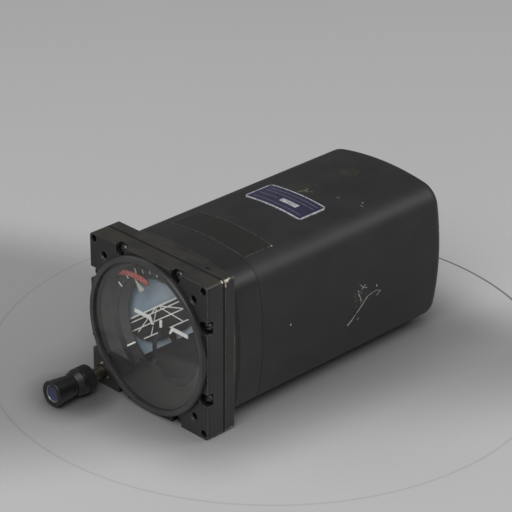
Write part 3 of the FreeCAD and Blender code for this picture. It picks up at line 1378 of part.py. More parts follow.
def aircraft_symbol():
    """Two bars with inward legs, and the round post between them on the stem's top."""
    top = SYMBOL_RISE + SYMBOL_HEIGHT / 2
    foot = SYMBOL_RISE - SYMBOL_HEIGHT / 2
    leg_end = SYMBOL_RISE - SYMBOL_LEG_DROP
    leg_inner = SYMBOL_LEG_FOOT - SYMBOL_HEIGHT / 2
    lean = SYMBOL_HEIGHT / 4
    wing = front_prism([
        (SYMBOL_HALF, top), (SYMBOL_BEND - lean, top), (leg_inner, leg_end), (SYMBOL_LEG_FOOT, leg_end),
        (SYMBOL_BEND + lean, foot), (SYMBOL_HALF, foot)], SYMBOL_Y, SYMBOL_Y + SYMBOL_THICK)
    dot = Part.makeCylinder(DOT_R, DOT_LENGTH, V(0, DOT_Y, SYMBOL_RISE - STRIP_TOP_DROP))
    return Part.makeCompound([wing, mirrored(wing), dot])


def strip_path():
    """Front face of the stem as (y, z) points, from its foot to its top."""
    mouth = -SHROUD_MOUTH_R
    bend = mouth + STRIP_BEND_RISE
    return [(STRIP_Y, mouth + STRIP_FOOT_RISE), (STRIP_Y, bend), (STRIP_UPPER_Y, bend + STRIP_BEND_HEIGHT),
            (STRIP_UPPER_Y, mouth + STRIP_LEAN_RISE), (STRIP_TOP_Y, mouth + STRIP_STAND_RISE),
            (STRIP_TOP_Y, SYMBOL_RISE - STRIP_TOP_DROP)]


def symbol_slide():
    """Stem strip with the pin for the height lever and the wire that carries the symbol's bars."""
    front = strip_path()
    back = [(y + STRIP_THICK, z) for y, z in reversed(front)]
    strip = side_prism(front + back, -STRIP_WIDTH / 2, STRIP_WIDTH / 2)
    pin = cylinder(LEVER_PIN_R, STRIP_Y, LEVER_Y + LEVER_THICK + GUIDE_GAP, 0, LEVER_PIN_Z)
    leg_middle = SYMBOL_LEG_FOOT - SYMBOL_HEIGHT / 4
    yoke = cross_bar(YOKE_WIRE_R, -leg_middle, leg_middle, SYMBOL_Y - YOKE_WIRE_R,
                     SYMBOL_RISE - SYMBOL_LEG_DROP + YOKE_WIRE_R)
    return fused([strip, pin, yoke])


def symbol_guide():
    """Two rails behind the apron, whose lips hold the stem's edges and let its pin pass between."""
    inner = STRIP_WIDTH / 2 + GUIDE_GAP
    outer = inner + GUIDE_RAIL
    back = STRIP_Y + STRIP_THICK + GUIDE_GAP
    foot = GUIDE_FOOT_RISE - SHROUD_MOUTH_R
    head = GUIDE_TOP_RISE - SHROUD_MOUTH_R
    rail = box(inner, outer, APRON_BACK_Y, back, foot, head)
    lip = box(LEVER_PIN_R + GUIDE_GAP, outer, back, back + GUIDE_LIP_THICK, foot, head)
    channel = fused([rail, lip])
    return Part.makeCompound([channel, mirrored(channel)])


# Knob, height lever and caging rod

def shaft_flat(gap, y0, y1):
    """Part of the shaft's circle that the flat leaves, widened by a gap."""
    reach = KNOB_SHAFT_R + gap
    bar = cylinder(reach, y0, y1, KNOB_X, KNOB_Z)
    flat = box(KNOB_X - reach, KNOB_X + reach, y0, y1, KNOB_Z - reach, KNOB_Z + SHAFT_FLAT + gap)
    return bar.common(flat)


def knob_bush():
    """Plain bush of the knob shaft in the front plate."""
    return tube(KNOB_SHAFT_R + BUSH_WALL, KNOB_SHAFT_R + RUNNING_GAP, 0, BUSH_DEPTH, KNOB_X, KNOB_Z)


def knob_shaft():
    """Shaft with a flat for the height lever, a journal and a riveted rear shoulder."""
    bearing_end = BUSH_DEPTH - SEAT_GAP
    front = cylinder(KNOB_SHAFT_R, -KNOB_STANDOFF - KNOB_COLLAR_LENGTH, bearing_end, KNOB_X, KNOB_Z)
    keyed = shaft_flat(0, bearing_end, SHOULDER_Y)
    journal = cylinder(JOURNAL_R, SHOULDER_Y, JOURNAL_END_Y - MOVING_GAP, KNOB_X, KNOB_Z)
    rivet_y = SHOULDER_Y + FORK_THICK + 2 * RUNNING_GAP
    rivet = cylinder(RIVET_R, rivet_y, rivet_y + RIVET_THICK, KNOB_X, KNOB_Z)
    return fused([front, keyed, journal, rivet])


def knob_turned(outline):
    """Round knob piece from (radius, distance in front of the plate) points."""
    return moved(turned([(r, -front) for r, front in outline]), KNOB_X, 0, KNOB_Z)


def knob_collar():
    """Round collar whose front edge slopes in to the cap."""
    body_end = KNOB_STANDOFF + KNOB_COLLAR_LENGTH
    front = body_end + KNOB_CONE_LENGTH
    bore = KNOB_SHAFT_R + SEAT_GAP
    return knob_turned([
        (bore, KNOB_STANDOFF), (KNOB_COLLAR_R - KNOB_EDGE, KNOB_STANDOFF),
        (KNOB_COLLAR_R, KNOB_STANDOFF + KNOB_EDGE), (KNOB_COLLAR_R, body_end),
        (KNOB_CAP_R + KNOB_EDGE, front), (0, front), (0, body_end + SEAT_GAP), (bore, body_end + SEAT_GAP)])


def grub_bar(radius, start, end):
    """Round bar across the cap between two distances from its axis, where the set screw is."""
    return moved(spun(cross_bar(radius, start, end, GRUB_Y, 0), GRUB_ANGLE), KNOB_X, 0, KNOB_Z)


def knob_cap():
    """Tapered front knob with a round recess in its face and a set screw's hole in its side."""
    rear = KNOB_STANDOFF + KNOB_COLLAR_LENGTH + KNOB_CONE_LENGTH
    front = rear + KNOB_CAP_LENGTH
    floor = front - KNOB_RECESS_DEPTH
    cap = knob_turned([
        (0, rear), (KNOB_CAP_R, rear), (KNOB_CAP_FRONT_R, front - KNOB_EDGE),
        (KNOB_CAP_FRONT_R - KNOB_EDGE, front), (KNOB_RECESS_R, front), (KNOB_RECESS_R, floor), (0, floor)])
    return cap.cut(grub_bar(GRUB_R + SEAT_GAP, KNOB_CAP_R - GRUB_DEPTH, KNOB_CAP_FRONT_R + OVERRUN))


def knob_screw():
    """Slotted set screw sunk in the cap's side."""
    start = KNOB_CAP_R - GRUB_DEPTH
    end = start + GRUB_LENGTH
    slot = box(end - GRUB_SLOT, end + OVERRUN, GRUB_Y - GRUB_R - OVERRUN, GRUB_Y + GRUB_R + OVERRUN,
               -GRUB_SLOT / 2, GRUB_SLOT / 2)
    return grub_bar(GRUB_R, start, end).cut(moved(spun(slot, GRUB_ANGLE), KNOB_X, 0, KNOB_Z))


def knob_disc():
    """Coloured disc with a raised rim, set in the knob's recess."""
    floor = KNOB_STANDOFF + KNOB_COLLAR_LENGTH + KNOB_CONE_LENGTH + KNOB_CAP_LENGTH - KNOB_RECESS_DEPTH
    face = floor + KNOB_DISC_THICK
    outer = KNOB_RECESS_R - SEAT_GAP
    inner = outer - KNOB_RIM_WIDTH
    return knob_turned([
        (0, floor), (outer, floor), (outer, face + KNOB_RIM_RISE), (inner, face + KNOB_RIM_RISE),
        (inner, face), (0, face)])


def height_lever():
    """Lever keyed on the knob shaft, slotted at the stem's pin."""
    y1 = LEVER_Y + LEVER_THICK
    hub = cylinder(LEVER_HUB_R, LEVER_Y, y1, 0, 0)
    reach = LEVER_LENGTH + LEVER_PIN_R + LEVER_END_GAP + LEVER_HALF
    blade = box(0, reach, LEVER_Y, y1, -LEVER_HALF, LEVER_HALF)
    slot_half = LEVER_PIN_R + LEVER_SLOT_GAP
    eye = cylinder(slot_half + LEVER_HALF, LEVER_Y, y1, -KNOB_X, 0)
    eye_tail = box(-KNOB_X, reach, LEVER_Y, y1, -slot_half - LEVER_HALF, slot_half + LEVER_HALF)
    slot_end = reach - LEVER_HALF
    slot = box(-KNOB_X - slot_half, slot_end, LEVER_Y - OVERRUN, y1 + OVERRUN, -slot_half, slot_half)
    lever = moved(spun(fused([hub, blade, eye, eye_tail]).cut(slot), LEVER_ANGLE), KNOB_X, 0, KNOB_Z)
    return lever.cut(shaft_flat(RUNNING_GAP, LEVER_Y - OVERRUN, y1 + OVERRUN))


def caging_rod():
    """Fork on the knob shaft's journal and the rod that it pulls, riveted together."""
    y0 = SHOULDER_Y + RUNNING_GAP
    fork = fork_shape(0, y0, y0 + FORK_THICK)
    hole = cylinder(JOURNAL_R + RUNNING_GAP, y0 - OVERRUN, y0 + FORK_THICK + OVERRUN, KNOB_X, KNOB_Z)
    rod = cylinder(CAGING_ROD_R, y0, CAGING_END_Y, CAGING_X, CAGING_Z)
    return fused([fork.cut(hole), rod])


# Flag

def off_flag():
    """Arc band swung in over the dial, with the hub on its pivot."""
    back = FLAG_Y + FLAG_THICK
    inner = FLAG_R - FLAG_WIDTH / 2
    outer = FLAG_R + FLAG_WIDTH / 2
    outline = [(inner, FLAG_Y), (outer, FLAG_Y), (outer, back), (inner, back)]
    band = spun(turned(outline, FLAG_PIVOT_ANGLE - FLAG_TIP_ANGLE), FLAG_PIVOT_ANGLE)
    hub = cylinder(FLAG_HUB_R, FLAG_Y, back + FLAG_THICK, FLAG_PIVOT_X, FLAG_PIVOT_Z)
    hole = cylinder(FLAG_PIN_R + RUNNING_GAP, FLAG_Y - OVERRUN, back + OVERRUN, FLAG_PIVOT_X, FLAG_PIVOT_Z)
    flag = fused([band, hub]).cut(hole)
    return spun(flag, -FLAG_SWING_ANGLE, FLAG_PIVOT_X, FLAG_PIVOT_Z)


def flag_coil():
    """Round coil behind the shroud's tab, with the pin that the flag turns on."""
    end = SHROUD_BACK_Y + FLAG_COIL_LENGTH
    can = cylinder(FLAG_COIL_R, SHROUD_BACK_Y, end, FLAG_PIVOT_X, FLAG_PIVOT_Z)
    pin = cylinder(FLAG_PIN_R, FLAG_Y - FLAG_PIN_PROUD, SHROUD_BACK_Y, FLAG_PIVOT_X, FLAG_PIVOT_Z)
    return fused([can, pin])


PIECES = [
    front_frame, joint_gasket, rear_flange, frame_screws, case_band, joint_sleeve, case_can, data_plate,
    case_plug, bezel_ring, glass, glass_gasket, apron, dial_shroud, bank_marks, symbol_guide, knob_bush,
    flag_coil,
    chassis_rods, chassis_spacers, bearing_plate_front, bearing_plate_rear, roll_bearing_outer, brush_block,
    circuit_board, board_parts, connector_shell, connector_screws, connector_insert, connector_pins,
    roll_gimbal, roll_mask, index_marks, bank_pointer, sky_card, roll_shaft, roll_bearing_inner, slip_rings,
    pitch_bearings, horizon_pivots, gyro_housing, gyro_cover, gyro_stator, rotor_bearings, pitch_trunnions,
    drive_pin, gyro_rotor, horizon_arm, ground_card, card_lines, aircraft_symbol, symbol_slide, height_lever,
    caging_rod, knob_shaft, knob_collar, knob_cap, knob_screw, knob_disc, off_flag]

os.makedirs("parts", exist_ok=True)
for piece in PIECES:
    save(piece.__name__, piece())
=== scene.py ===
# Artificial horizon on a pale turntable floor: looks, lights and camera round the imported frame.
import bpy
import bmesh
import json
import math
from mathutils import Matrix, Vector


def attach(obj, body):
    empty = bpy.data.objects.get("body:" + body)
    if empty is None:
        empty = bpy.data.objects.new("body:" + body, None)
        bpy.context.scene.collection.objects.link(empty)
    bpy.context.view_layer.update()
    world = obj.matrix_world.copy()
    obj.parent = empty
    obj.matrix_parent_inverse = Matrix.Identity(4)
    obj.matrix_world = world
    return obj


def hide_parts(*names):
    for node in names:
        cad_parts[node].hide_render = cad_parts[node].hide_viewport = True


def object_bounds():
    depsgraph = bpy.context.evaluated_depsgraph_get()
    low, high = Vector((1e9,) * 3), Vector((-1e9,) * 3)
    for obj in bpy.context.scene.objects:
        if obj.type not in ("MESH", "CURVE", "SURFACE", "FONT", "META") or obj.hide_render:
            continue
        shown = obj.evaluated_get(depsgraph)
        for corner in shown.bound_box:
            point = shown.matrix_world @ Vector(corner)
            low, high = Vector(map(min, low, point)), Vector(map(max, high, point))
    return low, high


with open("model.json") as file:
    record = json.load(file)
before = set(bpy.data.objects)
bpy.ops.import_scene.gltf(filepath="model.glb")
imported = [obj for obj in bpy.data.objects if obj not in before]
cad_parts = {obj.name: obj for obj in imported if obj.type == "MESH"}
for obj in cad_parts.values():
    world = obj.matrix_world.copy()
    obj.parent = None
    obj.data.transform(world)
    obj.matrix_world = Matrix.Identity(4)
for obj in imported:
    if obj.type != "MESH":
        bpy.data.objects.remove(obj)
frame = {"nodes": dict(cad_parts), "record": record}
cad_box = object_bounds()
NODES = frame["nodes"]
MM = 0.001

# Camera, from the photograph's perspective
PHOTO_WIDTH = 512
CAMERA_FOCAL_PX = 2305.0
CAMERA_DISTANCE = 1170.3 * MM
CAMERA_AZIMUTH = 45.29
CAMERA_ELEVATION = 26.98
CAMERA_TARGET = Vector((0.0, 90.0 * MM, 0.0))
CAMERA_SIDE = -12.25 * MM
CAMERA_RISE = 10.07 * MM
CAMERA_ROLL = 0.37
CAMERA_NEAR = 0.01
CAMERA_FAR = 50.0
SENSOR_WIDTH = 36.0

# The knob's axis as (across, height) in millimetres, and the bank at which the dial rests
KNOB_CENTRE = (-35.5, -34.45)
BANK = math.radians(37.0)


def aim(obj, eye, back, up):
    """Places an object at the eye, looking against back, with up as its upper side."""
    right = up.cross(back).normalized()
    up = back.cross(right)
    turn = Matrix((right, up, back)).transposed().to_4x4()
    obj.matrix_world = Matrix.Translation(eye) @ turn


def add_camera():
    """Camera at the photograph's viewing angle."""
    azimuth = math.radians(CAMERA_AZIMUTH)
    elevation = math.radians(CAMERA_ELEVATION)
    back = Vector((math.sin(azimuth) * math.cos(elevation), -math.cos(azimuth) * math.cos(elevation),
                   math.sin(elevation)))
    right = Vector((math.cos(azimuth), math.sin(azimuth), 0.0))
    up = back.cross(right)
    target = CAMERA_TARGET + CAMERA_SIDE * right + CAMERA_RISE * up
    roll = math.radians(CAMERA_ROLL)
    tilted = up * math.cos(roll) - right * math.sin(roll)
    data = bpy.data.cameras.new("camera")
    data.sensor_width = SENSOR_WIDTH
    data.lens = CAMERA_FOCAL_PX / PHOTO_WIDTH * SENSOR_WIDTH
    data.clip_start = CAMERA_NEAR
    data.clip_end = CAMERA_FAR
    camera = bpy.data.objects.new("camera", data)
    bpy.context.scene.collection.objects.link(camera)
    aim(camera, target + back * CAMERA_DISTANCE, back, tilted)
    bpy.context.scene.camera = camera


# Node graph helpers

BEVEL_SAMPLES = 4
EDGE_SAMPLES = 6
EDGE_DOT_FLAT = 0.995
EDGE_DOT_SHARP = 0.80
RAGGED_DETAIL = 4.0


class Graph:
    """A material's node tree with short calls to add and join nodes."""

    def __init__(self, name):
        self.material = bpy.data.materials.new(name)
        self.material.use_nodes = True
        self.tree = self.material.node_tree
        self.tree.nodes.clear()
        self.output = self.tree.nodes.new("ShaderNodeOutputMaterial")
        self.place = self.add("ShaderNodeTexCoord").outputs["Object"]

    def feed(self, socket, value):
        """Gives a socket a value, or joins it to another socket."""
        if isinstance(value, bpy.types.NodeSocket):
            self.tree.links.new(value, socket)
        else:
            socket.default_value = value

    def add(self, kind, inputs=None, **settings):
        """New node; inputs maps socket names or numbers to values or to other sockets."""
        node = self.tree.nodes.new(kind)
        for key, value in settings.items():
            setattr(node, key, value)
        for key, value in (inputs or {}).items():
            self.feed(node.inputs[key], value)
        return node

    def math(self, operation, first, second=0.0, third=0.0, clamp=False):
        """Arithmetic on up to three numbers."""
        inputs = {0: first, 1: second, 2: third}
        return self.add("ShaderNodeMath", inputs, operation=operation, use_clamp=clamp).outputs[0]

    def vector(self, operation, first, second=(0.0, 0.0, 0.0)):
        """Arithmetic on two vectors."""
        return self.add("ShaderNodeVectorMath", {0: first, 1: second}, operation=operation)

    def noise(self, size, detail=4.0, roughness=0.55, stretch=None, distortion=0.0):
        """Noise value whose blobs measure about size metres."""
        place = self.place
        if stretch:
            place = self.add("ShaderNodeMapping", {"Vector": place, "Scale": stretch}).outputs[0]
        return self.add("ShaderNodeTexNoise", {
            "Vector": place, "Scale": 1.0 / size, "Detail": detail, "Roughness": roughness,
            "Distortion": distortion}).outputs["Fac"]

    def ramp(self, value, low, high, to_low=0.0, to_high=1.0):
        """Value rescaled from one range to another, clamped."""
        return self.add("ShaderNodeMapRange", {
            "Value": value, "From Min": low, "From Max": high,
            "To Min": to_low, "To Max": to_high}).outputs[0]

    def smooth(self, value, low, high):
        """Soft step from zero to one between two values."""
        return self.add("ShaderNodeMapRange", {"Value": value, "From Min": low, "From Max": high},
                        interpolation_type="SMOOTHSTEP").outputs[0]

    def mix(self, share, first, second):
        """Colour between two colours."""
        node = self.tree.nodes.new("ShaderNodeMix")
        node.data_type = "RGBA"
        colours = [socket for socket in node.inputs if socket.type == "RGBA"]
        for socket, value in ((node.inputs[0], share), (colours[0], first), (colours[1], second)):
            self.feed(socket, value)
        return [socket for socket in node.outputs if socket.type == "RGBA"][0]

    def rounded(self, radius, samples=BEVEL_SAMPLES):
        """Normal with its edges rounded off."""
        return self.add("ShaderNodeBevel", {"Radius": radius}, samples=samples).outputs[0]

    def edges(self, radius):
        """Mask of convex and concave edges within a radius, from the rounded normal."""
        rounded = self.rounded(radius, EDGE_SAMPLES)
        true = self.add("ShaderNodeNewGeometry").outputs["True Normal"]
        dot = self.vector("DOT_PRODUCT", rounded, true).outputs["Value"]
        return self.ramp(dot, EDGE_DOT_FLAT, EDGE_DOT_SHARP)

    def ragged(self, size, amount):
        """Object coordinates shaken by noise, for broken outlines."""
        shake = self.add("ShaderNodeTexNoise", {
            "Vector": self.place, "Scale": 1.0 / size, "Detail": RAGGED_DETAIL})
        shift = self.vector("SUBTRACT", shake.outputs["Color"], (0.5, 0.5, 0.5)).outputs[0]
        shift = self.vector("MULTIPLY", shift, (amount, amount, amount)).outputs[0]
        return self.vector("ADD", self.place, shift).outputs[0]

    def stroke(self, start, end, width, soft=0.1, place=None):
        """Mask of a straight stroke between two points; all sizes in millimetres."""
        start = tuple(value * MM for value in start)
        run = tuple(last * MM - first for first, last in zip(start, end))
        away = self.vector("SUBTRACT", place or self.place, start).outputs[0]
        along = self.vector("DOT_PRODUCT", away, run).outputs["Value"]
        share = self.math("MULTIPLY", along, 1.0 / sum(value * value for value in run), clamp=True)
        near = self.add("ShaderNodeVectorMath", {0: run, "Scale": share}, operation="SCALE").outputs[0]
        gap = self.vector("LENGTH", self.vector("SUBTRACT", away, near).outputs[0]).outputs["Value"]
        return self.ramp(gap, width / 2 * MM + soft * MM, width / 2 * MM)

    def spot(self, centre, radius, soft, place=None):
        """Mask of a round spot about a point; all sizes in millimetres."""
        centre = tuple(value * MM for value in centre)
        gap = self.vector("DISTANCE", place or self.place, centre).outputs["Value"]
        return self.ramp(gap, (radius + soft) * MM, radius * MM)

    def window(self, value, low, high, soft):
        """Mask that is one between two values in millimetres."""
        rise = self.ramp(value, (low - soft) * MM, low * MM)
        fall = self.ramp(value, (high + soft) * MM, high * MM)
        return self.math("MULTIPLY", rise, fall)

    def block(self, soft, x=None, y=None, z=None):
        """Mask of a block given by ranges in millimetres along some of the axes."""
        values = self.add("ShaderNodeSeparateXYZ", {0: self.place}).outputs
        mask = None
        for value, limits in zip(values, (x, y, z)):
            if limits:
                part = self.window(value, limits[0], limits[1], soft)
                mask = part if mask is None else self.math("MULTIPLY", mask, part)
        return mask

    def ring(self, centre, inner, outer, soft=0.06):
        """Mask between two radii about an axis along Y; all sizes in millimetres."""
        flat = self.vector("MULTIPLY", self.place, (1.0, 0.0, 1.0)).outputs[0]
        middle = (centre[0] * MM, 0.0, centre[1] * MM)
        return self.window(self.vector("DISTANCE", flat, middle).outputs["Value"], inner, outer, soft)

    def most(self, masks):
        """Largest of several masks."""
        top = masks[0]
        for mask in masks[1:]:
            top = self.math("MAXIMUM", top, mask)
        return top

    def bump(self, height, strength, distance, normal):
        """Normal disturbed by a height."""
        return self.add("ShaderNodeBump", {
            "Height": height, "Strength": strength, "Distance": distance, "Normal": normal}).outputs[0]

    def surface(self, colour, rough, normal=None, metallic=0.0):
        """Principled surface joined to the output."""
        inputs = {"Base Color": colour, "Roughness": rough, "Metallic": metallic}
        if normal is not None:
            inputs["Normal"] = normal
        node = self.add("ShaderNodeBsdfPrincipled", inputs)
        self.tree.links.new(node.outputs[0], self.output.inputs["Surface"])


# Kinds of material

# Near-black tone of painted shade in crevices and in gaps between parts
GAP_SHADE_TONE = (0.002, 0.002, 0.002)
DUST_TONE = (0.35, 0.34, 0.31)
LEAST_ROUGH = 0.05
PAINT_EDGE = 0.35 * MM
BLOTCH_SIZE = 18 * MM
GRAIN_LIFT = 1.5
SPECK_SIZE = 0.9 * MM
CHIP_SIZE = 2.2 * MM
WORN_METALLIC = 0.6
# Painted shade in crevices, from ambient occlusion: the share of open sky at which it begins and at which
# it is full, and its strength there
CREVICE_SHADE = (0.72, 0.30, 0.0, 0.85)


def rgba(colour, factor=1.0):
    """Colour with full opacity, made darker or paler by a factor."""
    return (*(channel * factor for channel in colour), 1.0)


def rough_range(rough, less, more):
    """Lowest and highest roughness about a middle one."""
    return max(rough - less, LEAST_ROUGH), min(rough + more, 1.0)


def paint(name, colour, rough, grain, bare=None, wear=0.0, edge=PAINT_EDGE, dust=0.0, patchy=0.25,
          crevice_shade=0.0, layers=None):
    """Painted metal with a grain of (size, depth), blotches, dust specks, worn edges, and painted shade
    that darkens its crevices.

    Over these lie layers of (mask, colour, metallic, roughness).
    """
    size, depth = grain
    graph = Graph(name)
    blotch = graph.noise(BLOTCH_SIZE, 5.0)
    fine = graph.noise(size, 3.0, 0.6)
    deep, high = rgba(colour, 1.0 - patchy), rgba(colour, 1.0 + patchy)
    shade = graph.mix(graph.ramp(blotch, 0.35, 0.65), deep, high)
    shade = graph.mix(graph.ramp(fine, 0.30, 0.75, 0.0, 0.35), shade, rgba(colour, GRAIN_LIFT))
    if dust:
        speck = graph.ramp(graph.noise(SPECK_SIZE, 2.0, 0.5), 0.70, 0.76)
        shade = graph.mix(graph.math("MULTIPLY", speck, dust), shade, rgba(DUST_TONE))
    roughness = graph.ramp(fine, 0.2, 0.8, *rough_range(rough, 0.08, 0.10))
    metallic = 0.0
    rounded = graph.rounded(edge)
    if bare:
        broken = graph.ramp(graph.noise(CHIP_SIZE, 6.0, 0.7), 0.42, 0.62)
        worn = graph.math("MULTIPLY", graph.edges(edge), broken)
        worn = graph.math("MULTIPLY", worn, wear, clamp=True)
        shade = graph.mix(worn, shade, rgba(bare))
        metallic = graph.math("MULTIPLY", worn, WORN_METALLIC)
    # Painted shade: ambient occlusion darkens crevices towards the near-black gap tone
    if crevice_shade:
        sky = graph.add("ShaderNodeAmbientOcclusion", {"Distance": crevice_shade}, samples=8).outputs["AO"]
        shade = graph.mix(graph.ramp(sky, *CREVICE_SHADE), shade, rgba(GAP_SHADE_TONE))
    for mask, tone, layer_metallic, layer_rough in (layers(graph) if layers else []):
        shade = graph.mix(mask, shade, rgba(tone))
        metallic = graph.ramp(mask, 0.0, 1.0, metallic, layer_metallic)
        roughness = graph.ramp(mask, 0.0, 1.0, roughness, layer_rough)
    graph.surface(shade, roughness, graph.bump(fine, 0.6, depth, rounded), metallic)
    return graph.material


METAL_EDGE = 0.15 * MM
METAL_DEPTH = 0.004 * MM
STREAK_SIZE = 0.5 * MM
TARNISH_SIZE = 5 * MM
TARNISH_SHARE = 0.55
# How tightly the marks in bare metal are packed along each axis
TURNED = (1.0, 8.0, 1.0)
TURNED_FINE = (1.0, 12.0, 1.0)
WOUND = (6.0, 1.0, 6.0)
SCREW_MARKS = (1.0, 1.0, 6.0)


def metal(name, colour, rough, marks, tarnish=None):
    """Bare metal with the marks of its making and a little tarnish."""
    graph = Graph(name)
    streak = graph.noise(STREAK_SIZE, 3.0, 0.6, stretch=marks)
    cloud = graph.noise(TARNISH_SIZE, 5.0, 0.6)
    dull = rgba(tarnish) if tarnish else rgba(colour, TARNISH_SHARE)
    shade = graph.mix(graph.ramp(cloud, 0.40, 0.70, 0.0, 0.7), rgba(colour), dull)
    roughness = graph.ramp(streak, 0.25, 0.75, *rough_range(rough, 0.08, 0.12))
    rounded = graph.rounded(METAL_EDGE)
    graph.surface(shade, roughness, graph.bump(streak, 0.4, METAL_DEPTH, rounded), 1.0)
    return graph.material


PLASTIC_GRAIN = 0.5 * MM
PLASTIC_EDGE = 0.2 * MM
PLASTIC_DEPTH = 0.006 * MM
CLOUD_SIZE = 6 * MM
CLOUD_GAIN = 1.6
CLOUD_LIFT = 0.004


def plastic(name, colour, rough):
    """Moulded plastic or rubber with a faint grain."""
    graph = Graph(name)
    fine = graph.noise(PLASTIC_GRAIN, 4.0, 0.6)
    cloud = graph.noise(CLOUD_SIZE, 3.0)
    pale = tuple(channel * CLOUD_GAIN + CLOUD_LIFT for channel in colour)
    shade = graph.mix(graph.ramp(cloud, 0.35, 0.75, 0.0, 0.6), rgba(colour), rgba(pale))
    roughness = graph.ramp(fine, 0.25, 0.75, *rough_range(rough, 0.07, 0.1))
    rounded = graph.rounded(PLASTIC_EDGE)
    graph.surface(shade, roughness, graph.bump(fine, 0.5, PLASTIC_DEPTH, rounded))
    return graph.material


GLASS_IOR = 1.45
GLASS_CLEAR = (0.97, 0.97, 0.965)
GLASS_GLOSS = (0.92, 0.92, 0.91)
GLASS_GLOSS_ROUGH = 0.03
GLASS_DUST = (0.62, 0.62, 0.60)
SMEAR_SIZE = 9 * MM
SMEAR_GLOSS = 0.012
SMEAR_HAZE = 0.03
HAZE = 0.010
# The dusty veil has a sloping line: the direction across it, where it starts, lies and ends along that
VEIL_ACROSS_LINE = (-0.148, 0.0, 1.0)
VEIL_START = -5.6 * MM
VEIL_LINE = -3.6 * MM
VEIL_END = -9.0 * MM
# The veil above and below its line: from one place across the glass to another, and its share at each
VEIL_ABOVE = (2 * MM, -14 * MM, 0.004, 0.042)
VEIL_BELOW = (-28 * MM, 26 * MM, 0.0, 0.046)
VEIL_BLUR = ((12.0, 0.0, 27.0), 3.0, 14.0)
VEIL_BLUR_SHARE = 0.05
VEIL_SPECK_SIZE = 0.7 * MM
VEIL_SPECK_SHARE = 0.09


def clear_glass():
    """Thin dusty glass: a faint veil over what lies behind, and a gloss that grows towards grazing."""
    graph = Graph("glass")
    gloss = graph.add("ShaderNodeBsdfPrincipled", {
        "Base Color": rgba(GLASS_GLOSS), "Roughness": GLASS_GLOSS_ROUGH, "Metallic": 1.0})
    clear = graph.add("ShaderNodeBsdfTransparent", {"Color": rgba(GLASS_CLEAR)})
    smear = graph.noise(SMEAR_SIZE, 6.0, 0.65, distortion=1.5)
    fresnel = graph.add("ShaderNodeFresnel", {"IOR": GLASS_IOR}).outputs[0]
    film = graph.ramp(smear, 0.45, 0.75, 0.0, SMEAR_GLOSS)
    outside = graph.math("SUBTRACT", 1.0, graph.add("ShaderNodeNewGeometry").outputs["Backfacing"])
    share = graph.math("MULTIPLY", graph.math("ADD", fresnel, film, clamp=True), outside)
    speck = graph.math("MULTIPLY", graph.ramp(graph.noise(VEIL_SPECK_SIZE, 3.0, 0.6), 0.60, 0.76),
                       graph.ramp(smear, 0.36, 0.60, 0.2, 1.0))
    across = graph.add("ShaderNodeSeparateXYZ", {0: graph.place}).outputs["X"]
    level = graph.vector("DOT_PRODUCT", graph.place, VEIL_ACROSS_LINE).outputs["Value"]
    upper = graph.smooth(level, VEIL_START, VEIL_LINE)
    lower = graph.smooth(level, VEIL_LINE, VEIL_END)
    veil = graph.math("MULTIPLY_ADD", smear, SMEAR_HAZE, HAZE)
    veil = graph.math("ADD", veil, graph.math("MULTIPLY", graph.spot(*VEIL_BLUR), VEIL_BLUR_SHARE))
    veil = graph.math("ADD", veil, graph.math("MULTIPLY", upper, graph.ramp(across, *VEIL_ABOVE)))
    veil = graph.math("ADD", veil, graph.math("MULTIPLY", lower, graph.ramp(across, *VEIL_BELOW)))
    speck = graph.math("MULTIPLY", speck, lower)
    veil = graph.math("ADD", veil, graph.math("MULTIPLY", speck, VEIL_SPECK_SHARE))
    dust = graph.add("ShaderNodeBsdfPrincipled", {"Base Color": rgba(GLASS_DUST), "Roughness": 0.9})
    clear = graph.add("ShaderNodeMixShader", {
        0: graph.math("MULTIPLY", veil, outside), 1: clear.outputs[0], 2: dust.outputs[0]})
    joined = graph.add("ShaderNodeMixShader", {0: share, 1: clear.outputs[0], 2: gloss.outputs[0]})
    graph.tree.links.new(joined.outputs[0], graph.output.inputs["Surface"])
    return graph.material


# Wear, dirt and marks, and painted light and shade; places in millimetres along the axes, read from the
# photograph

OLIVE = (0.030, 0.027, 0.019)
SCUFFED = (0.11, 0.10, 0.08)
RUBBED = (0.10, 0.09, 0.055)
CREAM = (0.50, 0.46, 0.37)
PATCH_CREAM = (0.36, 0.33, 0.26)
CHIP_CREAM = (0.50, 0.46, 0.38)
TAPER_SHADE = (0.004, 0.004, 0.004)
SCRATCHED = (0.46, 0.44, 0.38)

TOP_EDGE = {"z": (41.2, 42.0)}
FRAME_TOP = {"z": (41.3, 42.0)}
# Painted shade of the seam between frame and flange
FRAME_JOINT_SHADE = {"y": (10.0, 10.7)}
FRAME_RIM = {"x": (40.0, 42.0), "y": (9.65, 9.85)}
# Painted shade: a thin dark line on the frame's right side just behind its rounded front edge
FRAME_EDGE_SHADE = {"x": (41.3, 42.0), "y": (1.0, 1.25)}
FRAME_CORNER = (41.2, 11.0, 41.2)
# Bare patches above the knob's shaft and low beside it: start and end
KNOB_PATCH = ((-36.8, 0.0, -30.6), (-34.6, 0.0, -29.2))
LOW_PATCH = ((-31.8, 0.0, -36.4), (-30.4, 0.0, -35.8))
SCUFF_MARKS = (0.18, 1.0, 1.0)


def layer(mask, tone, metallic=0.0, rough=0.5):
    """One layer over the paint: where it lies, its colour, and how metallic and rough it is."""
    return mask, tone, metallic, rough


def olive_stain(graph):
    """Mask of olive stains on the top edge."""
    return graph.math("MULTIPLY", graph.ramp(graph.noise(9 * MM, 5.0, 0.6), 0.4, 0.7),
                      graph.block(0.3, **TOP_EDGE))


